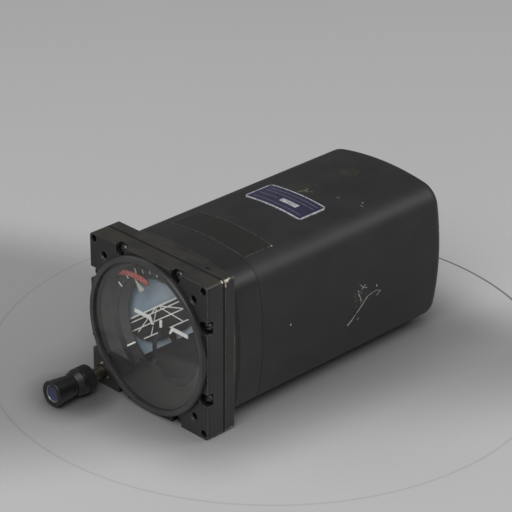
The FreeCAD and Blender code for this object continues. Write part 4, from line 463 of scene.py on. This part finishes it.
def frame_layers(graph):
    """Front frame: cream metal bare near the knob and at one corner, stains and scuffs on top, and painted
    shade along the seam with the flange and in a thin line behind its right front edge.
    """
    torn = graph.ragged(1.6 * MM, 2.2 * MM)
    low = graph.ragged(1.2 * MM, 1.6 * MM)
    patch = graph.most([graph.stroke(*KNOB_PATCH, 0.7, 0.3, torn),
                        graph.stroke(*LOW_PATCH, 0.25, 0.2, low)])
    chips = graph.ramp(graph.noise(1.6 * MM, 5.0, 0.7), 0.50, 0.56)
    joint_shade = graph.block(0.12, **FRAME_JOINT_SHADE)
    rim = graph.math("MULTIPLY", graph.block(0.1, **FRAME_RIM), chips)
    edge_shade = graph.block(0.12, **FRAME_EDGE_SHADE)
    corner = graph.spot(FRAME_CORNER, 1.1, 0.5, torn)
    lines = graph.ramp(graph.noise(0.5 * MM, 4.0, 0.7, stretch=SCUFF_MARKS), 0.66, 0.72)
    scuff = graph.math("MULTIPLY", lines, graph.block(0.3, **FRAME_TOP))
    olive = olive_stain(graph)
    return [layer(olive, OLIVE), layer(scuff, SCUFFED), layer(edge_shade, GAP_SHADE_TONE, rough=0.7),
            layer(joint_shade, GAP_SHADE_TONE, rough=0.7), layer(rim, RUBBED, 0.3, 0.45),
            layer(corner, CREAM, 0.3, 0.45), layer(patch, PATCH_CREAM, 0.2)]


# Rubbed rims of the flange: softness and ranges
FLANGE_RIMS = [(0.1, {"x": (40.0, 42.0), "y": (11.65, 11.9)}),
               (0.15, {"x": (40.5, 42.0), "y": (17.4, 18.0)})]
# Painted shade of the seam between flange and frame
FLANGE_JOINT_SHADE = {"y": (10.8, 11.5)}
FLANGE_TAPER = {"x": (37.0, 42.0), "y": (18.7, 23.0), "z": (-40.0, 40.0)}
# Bare strokes at the right corners: start, end, width and softness
FLANGE_CHIPS = [((41.5, 12.2, 41.0), (41.4, 16.5, 41.6), 1.2, 0.4),
                ((41.5, 11.9, 38.0), (41.5, 11.7, 40.5), 0.5, 0.3),
                ((41.5, 12.0, -41.4), (41.5, 16.0, -40.4), 0.9, 0.4)]


def flange_layers(graph):
    """Flange: chips of bare cream metal at its right corners, rubbed rims, painted shade along the seam
    with the frame, and shade beside the taper.
    """
    torn = graph.ragged(1.6 * MM, 2.4 * MM)
    chips = graph.ramp(graph.noise(1.6 * MM, 5.0, 0.7), 0.47, 0.53)
    rims = graph.most([graph.block(soft, **ranges) for soft, ranges in FLANGE_RIMS])
    rims = graph.math("MULTIPLY", rims, chips)
    joint_shade = graph.block(0.12, **FLANGE_JOINT_SHADE)
    corners = graph.most([graph.stroke(*chip, torn) for chip in FLANGE_CHIPS])
    olive = olive_stain(graph)
    taper = graph.block(0.3, **FLANGE_TAPER)
    return [layer(olive, OLIVE), layer(joint_shade, GAP_SHADE_TONE, rough=0.7), layer(taper, TAPER_SHADE, rough=0.6),
            layer(rims, RUBBED, 0.3, 0.45), layer(corners, CHIP_CREAM, 0.3, 0.4)]


# Scratches on the right side: start and end as (depth, height), and width
SCRATCHES = [
    ((97.7, -15.4), (100.3, -13.8), 0.75), ((100.3, -13.8), (111.1, -3.5), 0.45),
    ((111.1, -3.5), (117.5, -2.4), 0.22), ((117.5, -2.4), (120.5, -3.6), 0.12),
    ((104.3, 0.3), (105.8, -2.5), 0.3), ((105.8, -2.5), (106.4, -5.9), 0.18),
    ((105.5, 4.8), (107.6, 2.5), 0.22), ((107.6, 2.5), (110.5, 1.7), 0.25),
    ((106.6, 1.6), (109.0, 4.0), 0.15), ((103.6, 2.2), (105.2, 0.6), 0.15),
    ((117.4, 0.3), (117.8, -0.2), 0.6), ((118.0, -5.4), (120.4, -3.9), 0.3),
    ((104.8, -14.9), (105.4, -14.2), 0.4), ((165.0, 14.0), (168.0, 16.0), 0.5)]
RIGHT_SIDE = {"x": (30.0, 42.0)}
# Web of fine scratches about the long one: centre, radius and softness
WEB = ((41.3, 106.0, -1.5), 2.0, 6.0)
WEB_MARKS = (1.0, 0.5, 1.0)
# Nicks on the top: start and end as (across, depth)
NICKS = [((-3.2, 105.4), (-1.8, 109.4)), ((-1.8, 109.4), (-2.6, 112.2)), ((-1.6, 108.8), (0.2, 109.6)),
         ((0.8, 110.6), (1.8, 110.8)), ((13.8, 116.0), (15.4, 116.8)), ((26.0, 120.3), (27.6, 120.5))]
NICK_SIDE = {"z": (36.0, 43.0)}
# Small bare spots: centre, radius and softness; and one fine line on the top: start and end
SPECKS = [((27.0, 56.5, 38.5), 0.2, 0.4), ((41.3, 56.0, 1.0), 0.35, 0.25), ((25.0, 123.0, 38.0), 0.7, 0.5)]
TOP_LINE = ((12.0, 118.0, 41.0), (18.0, 121.0, 41.0))
# Darker patch near the front of the top, outside and inside its border
PATCH = {"x": (-25.0, 27.0), "y": (38.0, 57.0), "z": (0.0, 50.0)}
PATCH_INSIDE = {"x": (-24.4, 26.4), "y": (38.6, 56.4), "z": (0.0, 50.0)}
STAIN = ((-5.5, 110.0, 40.5), 3.0, 9.5)

PATCH_TONE = (0.0095, 0.0092, 0.0085)
BORDER_TONE = (0.085, 0.08, 0.065)
STAIN_TONE = (0.034, 0.031, 0.017)
NICK_TONE = (0.16, 0.155, 0.13)
KNOCK_TONE = (0.10, 0.095, 0.08)
KNOCK_SHARE = 0.7
WEB_SHARE = 0.5


def case_layers(graph):
    """Case: a stain, nicks and a darker bordered patch on top, knocks, and scratches on the right."""
    shaken = graph.ragged(2.5 * MM, 0.9 * MM)
    patch = graph.block(0.25, **PATCH)
    border = graph.math("SUBTRACT", patch, graph.block(0.25, **PATCH_INSIDE), clamp=True)
    border = graph.math("MULTIPLY", border, graph.ramp(graph.noise(3 * MM, 4.0), 0.40, 0.60, 0.1, 0.6))
    broken = graph.ramp(graph.noise(0.9 * MM, 3.0, 0.7), 0.36, 0.46)
    flat = graph.vector("MULTIPLY", shaken, (0.0, 1.0, 1.0)).outputs[0]
    scratches = [graph.stroke((0.0, *start), (0.0, *end), width, 0.12, flat)
                 for start, end, width in SCRATCHES]
    right = graph.block(0.5, **RIGHT_SIDE)
    scratch = graph.math("MULTIPLY", graph.math("MULTIPLY", graph.most(scratches), broken), right)
    web = graph.ramp(graph.noise(0.8 * MM, 6.0, 0.8, stretch=WEB_MARKS), 0.56, 0.62)
    web = graph.math("MULTIPLY", web, graph.math("MULTIPLY", graph.spot(*WEB), right))
    specks = [graph.spot(*speck) for speck in SPECKS]
    specks = graph.most([*specks, graph.stroke(*TOP_LINE, 0.25)])
    knocks = graph.ramp(graph.noise(1.1 * MM, 2.0, 0.5), 0.755, 0.785)
    stain = graph.math("MULTIPLY", graph.ramp(graph.noise(2.0 * MM, 6.0, 0.75), 0.42, 0.62),
                       graph.spot(*STAIN, graph.ragged(4 * MM, 6 * MM)))
    level = graph.vector("MULTIPLY", shaken, (1.0, 1.0, 0.0)).outputs[0]
    nicks = graph.most([graph.stroke((*start, 0.0), (*end, 0.0), 0.3, 0.15, level) for start, end in NICKS])
    nicks = graph.math("MULTIPLY", nicks, graph.block(0.5, **NICK_SIDE))
    return [layer(stain, STAIN_TONE, rough=0.55), layer(nicks, NICK_TONE, 0.1),
            layer(patch, PATCH_TONE), layer(border, BORDER_TONE),
            layer(graph.math("MULTIPLY", knocks, KNOCK_SHARE), KNOCK_TONE),
            layer(graph.math("MULTIPLY", web, WEB_SHARE), SCRATCHED, 0.2),
            layer(scratch, SCRATCHED, 0.3, 0.4), layer(specks, SCRATCHED, 0.2)]


LABEL_FACE = {"x": (-19.6, 18.1), "y": (84.9, 102.6)}
LABEL_FIELD = {"x": (-2.5, 9.0), "y": (91.0, 94.2)}
# Ruled lines on the data plate: their range across and their depth
LABEL_RULES = [((-17.0, 16.0), 87.6), ((-17.0, 16.0), 96.6), ((-17.0, 16.0), 99.6), ((-17.0, -5.0), 92.2)]
RULE_WIDTH = 0.3
RULE_SHARE = 0.55
RULE_TONE = (0.34, 0.34, 0.38)
FIELD_TONE = (0.60, 0.60, 0.62)
RIM_TONE = (0.66, 0.66, 0.68)


def label_layers(graph):
    """Data plate: bare metal rim, a light field and thin ruled lines, nothing written."""
    rim = graph.math("SUBTRACT", 1.0, graph.block(0.12, **LABEL_FACE))
    field = graph.block(0.15, **LABEL_FIELD)
    rules = [graph.block(0.1, across, (depth, depth + RULE_WIDTH)) for across, depth in LABEL_RULES]
    worn = graph.ramp(graph.noise(1.5 * MM, 4.0, 0.65), 0.35, 0.65, 0.35, 1.0)
    rules = graph.most(rules)
    faint = graph.math("MULTIPLY", worn, RULE_SHARE)
    return [layer(graph.math("MULTIPLY", rules, faint), RULE_TONE, 0.3, 0.4),
            layer(graph.math("MULTIPLY", field, worn), FIELD_TONE, 0.3, 0.4),
            layer(graph.math("MULTIPLY", rim, worn), RIM_TONE, 0.3, 0.4)]


MASK_BLACK = (0.006, 0.006, 0.007)
MASK_SOFT = 0.15 * MM


def mask_layers(graph):
    """Roll mask: black below the banked diameter, grey above it."""
    normal = (math.sin(BANK), 0.0, -math.cos(BANK))
    below = graph.vector("DOT_PRODUCT", graph.place, normal).outputs["Value"]
    return [layer(graph.ramp(below, -MASK_SOFT, MASK_SOFT), MASK_BLACK, rough=0.6)]


# Painted light and shade on the flat sky card: paler to the right where light falls, deeper to the left in
# the shroud's shade
SKY_LIT_TONE = (0.72, 0.83, 0.92)
SKY_LIGHT_RAMP = (-18 * MM, 22 * MM, 0.0, 0.8)


def sky_layers(graph):
    """Sky: painted light makes it paler towards the right, painted shade deeper towards the left."""
    across = graph.add("ShaderNodeSeparateXYZ", {0: graph.place}).outputs["X"]
    return [layer(graph.ramp(across, *SKY_LIGHT_RAMP), SKY_LIT_TONE)]


FLAG_FADED = (0.70, 0.33, 0.28)
FLAG_FADE = (0.0, -14 * MM, 0.25, 0.75)


def flag_layers(graph):
    """Warning flag: faded blotches, most towards its left end."""
    across = graph.add("ShaderNodeSeparateXYZ", {0: graph.place}).outputs["X"]
    faded = graph.math("MULTIPLY", graph.ramp(graph.noise(1.6 * MM, 5.0, 0.7), 0.44, 0.60),
                       graph.ramp(across, *FLAG_FADE))
    return [layer(faded, FLAG_FADED, rough=0.55)]


# Painted shade on the bezel ring: radii of its face, which stays paler, and the strength and tone of the
# shade on the sloping sides inside and outside it
RING_FACE = (38.3, 40.3)
SLOPE_SHADE_SHARE = 0.7
SLOPE_SHADE_TONE = (0.009, 0.009, 0.009)
DISC_RIM = (4.08, 4.7)
DISC_RIM_TONE = (0.45, 0.45, 0.45)


def ring_layers(graph):
    """Bezel ring: painted shade darkens the sloping sides inside and outside its face, leaving the face
    paler.
    """
    shaded_slopes = graph.math("SUBTRACT", 1.0, graph.ring((0.0, 0.0), *RING_FACE))
    return [layer(graph.math("MULTIPLY", shaded_slopes, SLOPE_SHADE_SHARE), SLOPE_SHADE_TONE, rough=0.42)]


def disc_layers(graph):
    """Disc in the knob's face: bare metal on its raised rim."""
    return [layer(graph.ring(KNOB_CENTRE, *DISC_RIM), DISC_RIM_TONE, 0.8, 0.3)]


# Grain of each paint: size and depth
FRAME_GRAIN = (0.4 * MM, 0.014 * MM)
CASE_GRAIN = (0.35 * MM, 0.010 * MM)
BAND_GRAIN = (0.5 * MM, 0.006 * MM)
RING_GRAIN = (0.3 * MM, 0.008 * MM)
DIAL_GRAIN = (0.25 * MM, 0.004 * MM)
CARD_GRAIN = (0.3 * MM, 0.004 * MM)
MARK_GRAIN = (0.3 * MM, 0.003 * MM)
FLAG_GRAIN = (0.9 * MM, 0.004 * MM)
DISC_GRAIN = (0.6 * MM, 0.010 * MM)

FRAME_TONE = (0.0158, 0.0156, 0.0152)
FRAME_WORN = (0.30, 0.28, 0.24)
# Pale bare metal of the bezel ring's worn edges; worn strongly, it is also painted highlight along the
# ring's edges
RING_WORN_AND_HIGHLIGHT = (0.34, 0.34, 0.32)

# Materials by the record's slots
MATERIALS = {
    # Bezel ring: worn edges that also paint its edge highlights, painted shade on its sloping sides and in
    # its crevices
    "ring_paint": paint("ring_paint", (0.042, 0.042, 0.041), 0.34, RING_GRAIN, RING_WORN_AND_HIGHLIGHT, 1.6,
                        edge=0.25 * MM, dust=0.08, crevice_shade=1.6 * MM, layers=ring_layers),
    "band_paint": paint("band_paint", (0.0108, 0.0108, 0.0117), 0.42, BAND_GRAIN, dust=0.05,
                        crevice_shade=3.0 * MM),
    "dial_black": paint("dial_black", (0.010, 0.010, 0.011), 0.55, DIAL_GRAIN),
    "mask_grey": paint("mask_grey", (0.036, 0.036, 0.037), 0.6, DIAL_GRAIN, dust=0.05),
    "white_paint": paint("white_paint", (0.98, 0.98, 0.95), 0.55, MARK_GRAIN, patchy=0.06),
    "pointer_paint": paint("pointer_paint", (0.70, 0.68, 0.60), 0.55, MARK_GRAIN, patchy=0.08),
    "sky_paint": paint("sky_paint", (0.36, 0.47, 0.58), 0.5, CARD_GRAIN, patchy=0.10, layers=sky_layers),
    "ground_paint": paint("ground_paint", (0.016, 0.017, 0.018), 0.5, CARD_GRAIN, patchy=0.15),
    "flag_paint": paint("flag_paint", (0.56, 0.085, 0.06), 0.5, FLAG_GRAIN, patchy=0.3, layers=flag_layers),
    "glass": clear_glass(),
    "rubber": plastic("rubber", (0.010, 0.010, 0.010), 0.65),
    "screw_steel": metal("screw_steel", (0.10, 0.10, 0.10), 0.32, SCREW_MARKS, (0.03, 0.03, 0.03)),
    "bronze": metal("bronze", (0.25, 0.23, 0.18), 0.38, TURNED_FINE, (0.09, 0.075, 0.04)),
    "knob_black": plastic("knob_black", (0.005, 0.005, 0.005), 0.36),
    "disc_blue": paint("disc_blue", (0.035, 0.038, 0.090), 0.45, DISC_GRAIN, patchy=0.5,
                       layers=disc_layers),
    "plate_navy": paint("plate_navy", (0.017, 0.017, 0.045), 0.40, CARD_GRAIN, patchy=0.2,
                        layers=label_layers),
    "aluminium": metal("aluminium", (0.58, 0.59, 0.60), 0.38, TURNED),
    "steel": metal("steel", (0.45, 0.45, 0.46), 0.30, TURNED),
    "brass": metal("brass", (0.62, 0.45, 0.20), 0.32, TURNED),
    "copper": metal("copper", (0.55, 0.24, 0.12), 0.40, WOUND),
    "board_green": plastic("board_green", (0.02, 0.09, 0.035), 0.45),
    "moulded_black": plastic("moulded_black", (0.012, 0.012, 0.013), 0.50),
}

# Nodes that look different from the rest of their slot
NODE_LOOKS = {
    "front_frame": paint("front_frame_paint", FRAME_TONE, 0.40, FRAME_GRAIN, FRAME_WORN, 1.3, dust=0.10,
                         crevice_shade=4.0 * MM, layers=frame_layers),
    "rear_flange": paint("rear_flange_paint", FRAME_TONE, 0.40, FRAME_GRAIN, FRAME_WORN, 1.2, dust=0.10,
                         crevice_shade=2.5 * MM, layers=flange_layers),
    "case_can": paint("case_can_paint", (0.0112, 0.0115, 0.0127), 0.49, CASE_GRAIN, dust=0.08,
                      layers=case_layers),
    "roll_mask": paint("roll_mask_paint", (0.044, 0.044, 0.045), 0.6, DIAL_GRAIN, dust=0.05,
                       layers=mask_layers),
    "case_plug": paint("case_plug_paint", (0.016, 0.015, 0.0115), 0.49, CASE_GRAIN, patchy=0.5, dust=0.08),
    "apron": paint("apron_paint", (0.008, 0.008, 0.008), 0.6, DIAL_GRAIN, dust=0.05),
    "knob_bush": metal("bush_metal", (0.05, 0.045, 0.03), 0.4, TURNED_FINE, (0.03, 0.03, 0.025)),
}


def dress_nodes():
    """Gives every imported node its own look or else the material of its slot."""
    for part in frame["record"]["subparts"]:
        obj = NODES[part["node"]]
        material = NODE_LOOKS.get(part["node"]) or MATERIALS[part["material_slot"]]
        if not obj.material_slots:
            obj.data.materials.append(material)
        for place in obj.material_slots:
            place.material = material


# Ribbed collar behind the knob's cap, in millimetres; distances run forwards from the frame's face

RIB_TEETH = 40
TOOTH_STEPS = 8
RIB_DEPTH = 0.32
RIB_SLOPE = 1.6
RIB_END = 14.2
RIB_RUNOUT = 0.4
COLLAR_RADIUS = 7.1
COLLAR_REAR = 8.8
COLLAR_FRONT = 16.8
CONE_FRONT = 19.8
BORE_RADIUS = 3.15
BORE_END = 16.85
# Outline as (radius, distance): the bore and rear face, the ribbed rows, and the plain front with its cone
REAR_OUTLINE = [(0.0, BORE_END), (BORE_RADIUS, BORE_END), (BORE_RADIUS, COLLAR_REAR),
                (6.6, COLLAR_REAR), (6.95, COLLAR_REAR + 0.25)]
RIB_ROWS = [COLLAR_REAR + 0.5, 10.5, 12.0, RIB_END - RIB_RUNOUT, RIB_END]
FRONT_OUTLINE = [(COLLAR_RADIUS, COLLAR_FRONT - 0.15), (COLLAR_RADIUS - 0.1, COLLAR_FRONT),
                 (5.95, CONE_FRONT - 0.1), (5.8, CONE_FRONT), (0.0, CONE_FRONT)]


def rib_radius(turn, front):
    """Radius of the straight ribs at a share of a turn; they run out towards their front end."""
    ridge = abs(2.0 * (turn * RIB_TEETH % 1.0) - 1.0)
    fade = min(1.0, (RIB_END - front) / RIB_RUNOUT)
    return COLLAR_RADIUS - RIB_DEPTH * fade * (1.0 - min(1.0, RIB_SLOPE * ridge))


def add_ring(builder, radii, front):
    """Points round the knob's axis, one for each radius."""
    ring = []
    for step, radius in enumerate(radii):
        angle = math.tau * step / len(radii)
        ring.append(builder.verts.new(((KNOB_CENTRE[0] + radius * math.cos(angle)) * MM, -front * MM,
                                       (KNOB_CENTRE[1] + radius * math.sin(angle)) * MM)))
    return ring


def add_round(builder, radius, front, around):
    """Round ring of points, or the one point on the axis."""
    return add_ring(builder, [radius] * (around if radius else 1), front)


def ribbed_collar():
    """Collar with ribs on its rear half, a plain front half and a sloping end."""
    around = RIB_TEETH * TOOTH_STEPS
    builder = bmesh.new()
    rings = [add_round(builder, radius, front, around) for radius, front in REAR_OUTLINE]
    for front in RIB_ROWS:
        radii = [rib_radius(step / around, front) for step in range(around)]
        rings.append(add_ring(builder, radii, front))
    rings += [add_round(builder, radius, front, around) for radius, front in FRONT_OUTLINE]
    for first, second in zip(rings, rings[1:]):
        for step in range(around):
            after = (step + 1) % around
            if len(first) == 1:
                builder.faces.new((first[0], second[after], second[step]))
            elif len(second) == 1:
                builder.faces.new((first[step], first[after], second[0]))
            else:
                builder.faces.new((first[step], first[after], second[after], second[step]))
    bmesh.ops.recalc_face_normals(builder, faces=builder.faces)
    mesh = bpy.data.meshes.new("ribbed_collar")
    builder.to_mesh(mesh)
    builder.free()
    mesh.materials.append(MATERIALS["knob_black"])
    piece = bpy.data.objects.new("ribbed_collar", mesh)
    bpy.context.scene.collection.objects.link(piece)
    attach(piece, "knob")
    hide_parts("knob_collar")


# Stage and light

FLOOR_SPAN = 6.0
FLOOR_TONE = 0.465
FLOOR_MOTTLE = (0.985, 1.015)
FLOOR_ROUGH = 0.6
# Backdrop: where the floor starts to bend up, the bend's radius and steps, and how high the wall goes
BACKDROP_START = 1.2
BACKDROP_BEND = 0.5
BACKDROP_STEPS = 8
BACKDROP_HEIGHT = 3.0
# Shaded band: (slope, place) of its near and far edge lines, half the softness of each, and its strength
BAND_NEAR = (0.23, -72 * MM)
BAND_FAR = (-0.33, 80 * MM)
BAND_NEAR_SOFT = 42 * MM
BAND_FAR_SOFT = 34 * MM
BAND_SHARE = 0.41
# Shade on the floor under the case and under the knob: reach and strength
CASE_HALF = (41.5 * MM, 84.0 * MM)
CASE_MIDDLE = (0.0, 84.0 * MM, 0.0)
CASE_SHADE_REACH = 46 * MM
CASE_SHADE = 0.35
KNOB_FOOT = (-36.0 * MM, -14.0 * MM, 0.0)
KNOB_SHADE_REACH = (36 * MM, 8 * MM)
KNOB_SHADE = 0.70
# Edge line of the turntable, painted shade of the gap at its edge: half its width with and without its
# softness, and its strength, near to far
DISC_CENTRE = (-0.48 * MM, 82.85 * MM, 0.0)
DISC_RADIUS = 143.46 * MM
DISC_LINE = (0.9 * MM, 0.3 * MM)
DISC_LINE_SHADE_SHARE = (90 * MM, 150 * MM, 0.15, 0.72)
# How much the far floor is dimmed where it shows as a reflection, and where that begins and is full
FAR_DIM = 0.45
FAR_REACH = (250 * MM, 700 * MM)


def floor_look(along, side):
    """Pale floor with a shaded band across it and the thin edge line of a round turntable, painted as the
    shade of its edge gap.
    """
    graph = Graph("floor")
    flat = graph.vector("MULTIPLY", graph.place, (1.0, 1.0, 0.0)).outputs[0]
    away = graph.vector("SUBTRACT", flat, DISC_CENTRE).outputs[0]
    deep = graph.vector("DOT_PRODUCT", away, tuple(along)).outputs["Value"]
    across = graph.vector("DOT_PRODUCT", away, tuple(side)).outputs["Value"]
    near = graph.math("SUBTRACT", deep, graph.math("MULTIPLY_ADD", across, *BAND_NEAR))
    far = graph.math("SUBTRACT", deep, graph.math("MULTIPLY_ADD", across, *BAND_FAR))
    band = graph.math("MULTIPLY", graph.smooth(near, -BAND_NEAR_SOFT, BAND_NEAR_SOFT),
                      graph.smooth(far, BAND_FAR_SOFT, -BAND_FAR_SOFT))
    mottle = [FLOOR_TONE * share for share in FLOOR_MOTTLE]
    tone = graph.ramp(graph.noise(0.4, 2.0), 0.3, 0.7, *mottle)
    tone = graph.math("MULTIPLY", tone, graph.ramp(graph.noise(2 * MM, 4.0, 0.6), 0.3, 0.7, *FLOOR_MOTTLE))
    tone = graph.math("MULTIPLY", tone, graph.math("MULTIPLY_ADD", band, -BAND_SHARE, 1.0))
    foot = graph.vector("ABSOLUTE", graph.vector("SUBTRACT", flat, CASE_MIDDLE).outputs[0]).outputs[0]
    foot = graph.vector("SUBTRACT", foot, (*CASE_HALF, 0.0)).outputs[0]
    foot = graph.vector("LENGTH", graph.vector("MAXIMUM", foot).outputs[0]).outputs["Value"]
    knob = graph.vector("DISTANCE", flat, KNOB_FOOT).outputs["Value"]
    close = graph.math("MULTIPLY", graph.smooth(foot, CASE_SHADE_REACH, 0.0), CASE_SHADE)
    under = graph.math("MULTIPLY", graph.smooth(knob, *KNOB_SHADE_REACH), KNOB_SHADE)
    close = graph.math("MAXIMUM", close, under)
    direct = graph.math("SUBTRACT", 1.0, graph.add("ShaderNodeLightPath").outputs["Is Glossy Ray"])
    tone = graph.math("MULTIPLY", tone, graph.math("SUBTRACT", 1.0, graph.math("MULTIPLY", close, direct)))
    # Painted shade: the turntable's edge gap as a thin dark line, darker towards the far right
    reach = graph.vector("LENGTH", away).outputs["Value"]
    gap = graph.math("ABSOLUTE", graph.math("SUBTRACT", reach, DISC_RADIUS))
    line = graph.ramp(gap, *DISC_LINE)
    dark = graph.ramp(graph.math("ADD", deep, across), *DISC_LINE_SHADE_SHARE)
    line = graph.math("MULTIPLY", line, dark)
    tone = graph.math("MULTIPLY", tone, graph.math("SUBTRACT", 1.0, line))
    mirrored = graph.math("MULTIPLY", graph.add("ShaderNodeLightPath").outputs["Is Glossy Ray"],
                          graph.smooth(deep, *FAR_REACH))
    tone = graph.math("MULTIPLY", tone, graph.math("MULTIPLY_ADD", mirrored, -FAR_DIM, 1.0))
    colour = graph.add("ShaderNodeCombineColor", {0: tone, 1: tone, 2: tone}).outputs[0]
    graph.surface(colour, FLOOR_ROUGH)
    return graph.material


def add_floor():
    """Pale floor that runs up into a backdrop."""
    low = cad_box[0][2]
    profile = [(-FLOOR_SPAN / 2, low), (BACKDROP_START, low)]
    for step in range(BACKDROP_STEPS + 1):
        angle = math.radians(90.0 * step / BACKDROP_STEPS)
        profile.append((BACKDROP_START + BACKDROP_BEND * math.sin(angle),
                        low + BACKDROP_BEND * (1 - math.cos(angle))))
    profile.append((BACKDROP_START + BACKDROP_BEND, low + BACKDROP_HEIGHT))
    mesh = bpy.data.meshes.new("floor")
    builder = bmesh.new()
    azimuth = math.radians(CAMERA_AZIMUTH)
    along = Vector((-math.sin(azimuth), math.cos(azimuth), 0.0))
    side = Vector((math.cos(azimuth), math.sin(azimuth), 0.0)) * FLOOR_SPAN / 2
    rows = []
    for distance, height in profile:
        middle = along * distance + Vector((0, 0, height))
        rows.append((builder.verts.new(middle - side), builder.verts.new(middle + side)))
    for first, second in zip(rows, rows[1:]):
        builder.faces.new((first[0], first[1], second[1], second[0]))
    builder.to_mesh(mesh)
    builder.free()
    for face in mesh.polygons:
        face.use_smooth = True
    floor = bpy.data.objects.new("floor", mesh)
    bpy.context.scene.collection.objects.link(floor)
    mesh.materials.append(floor_look(along, side.normalized()))


WORLD_TONE = (0.25, 0.25, 0.25)
LAMP_TARGET = (0.0, 0.08, 0.0)
STEEP = 0.9
# Lamps: name, place, size and power
LAMPS = [("lamp_front", (0.6, -1.0, 1.5), (1.4, 1.2), 24.0),
         ("lamp_left", (-1.6, -0.6, 1.1), (1.0, 1.0), 4.0),
         ("lamp_back", (1.0, 1.3, 1.1), (1.2, 0.7), 8.0),
         ("lamp_top", (0.2, 0.3, 2.0), (1.0, 1.0), 7.5)]


def add_lamp(name, place, size, power):
    """Rectangular soft lamp aimed at the object."""
    data = bpy.data.lights.new(name, "AREA")
    data.shape = "RECTANGLE"
    data.size, data.size_y = size
    data.energy = power
    lamp = bpy.data.objects.new(name, data)
    bpy.context.scene.collection.objects.link(lamp)
    eye = Vector(place)
    back = (eye - Vector(LAMP_TARGET)).normalized()
    aim(lamp, eye, back, Vector((0.0, 1.0, 0.0)) if abs(back.z) > STEEP else Vector((0.0, 0.0, 1.0)))


def add_light():
    """Even world light with large soft lamps on three sides and above."""
    world = bpy.data.worlds.new("world")
    world.use_nodes = True
    background = world.node_tree.nodes["Background"]
    background.inputs["Color"].default_value = rgba(WORLD_TONE)
    background.inputs["Strength"].default_value = 1.0
    bpy.context.scene.world = world
    for lamp in LAMPS:
        add_lamp(*lamp)


scene = bpy.context.scene
scene.view_settings.view_transform = "Standard"
add_camera()
dress_nodes()
ribbed_collar()
add_floor()
add_light()
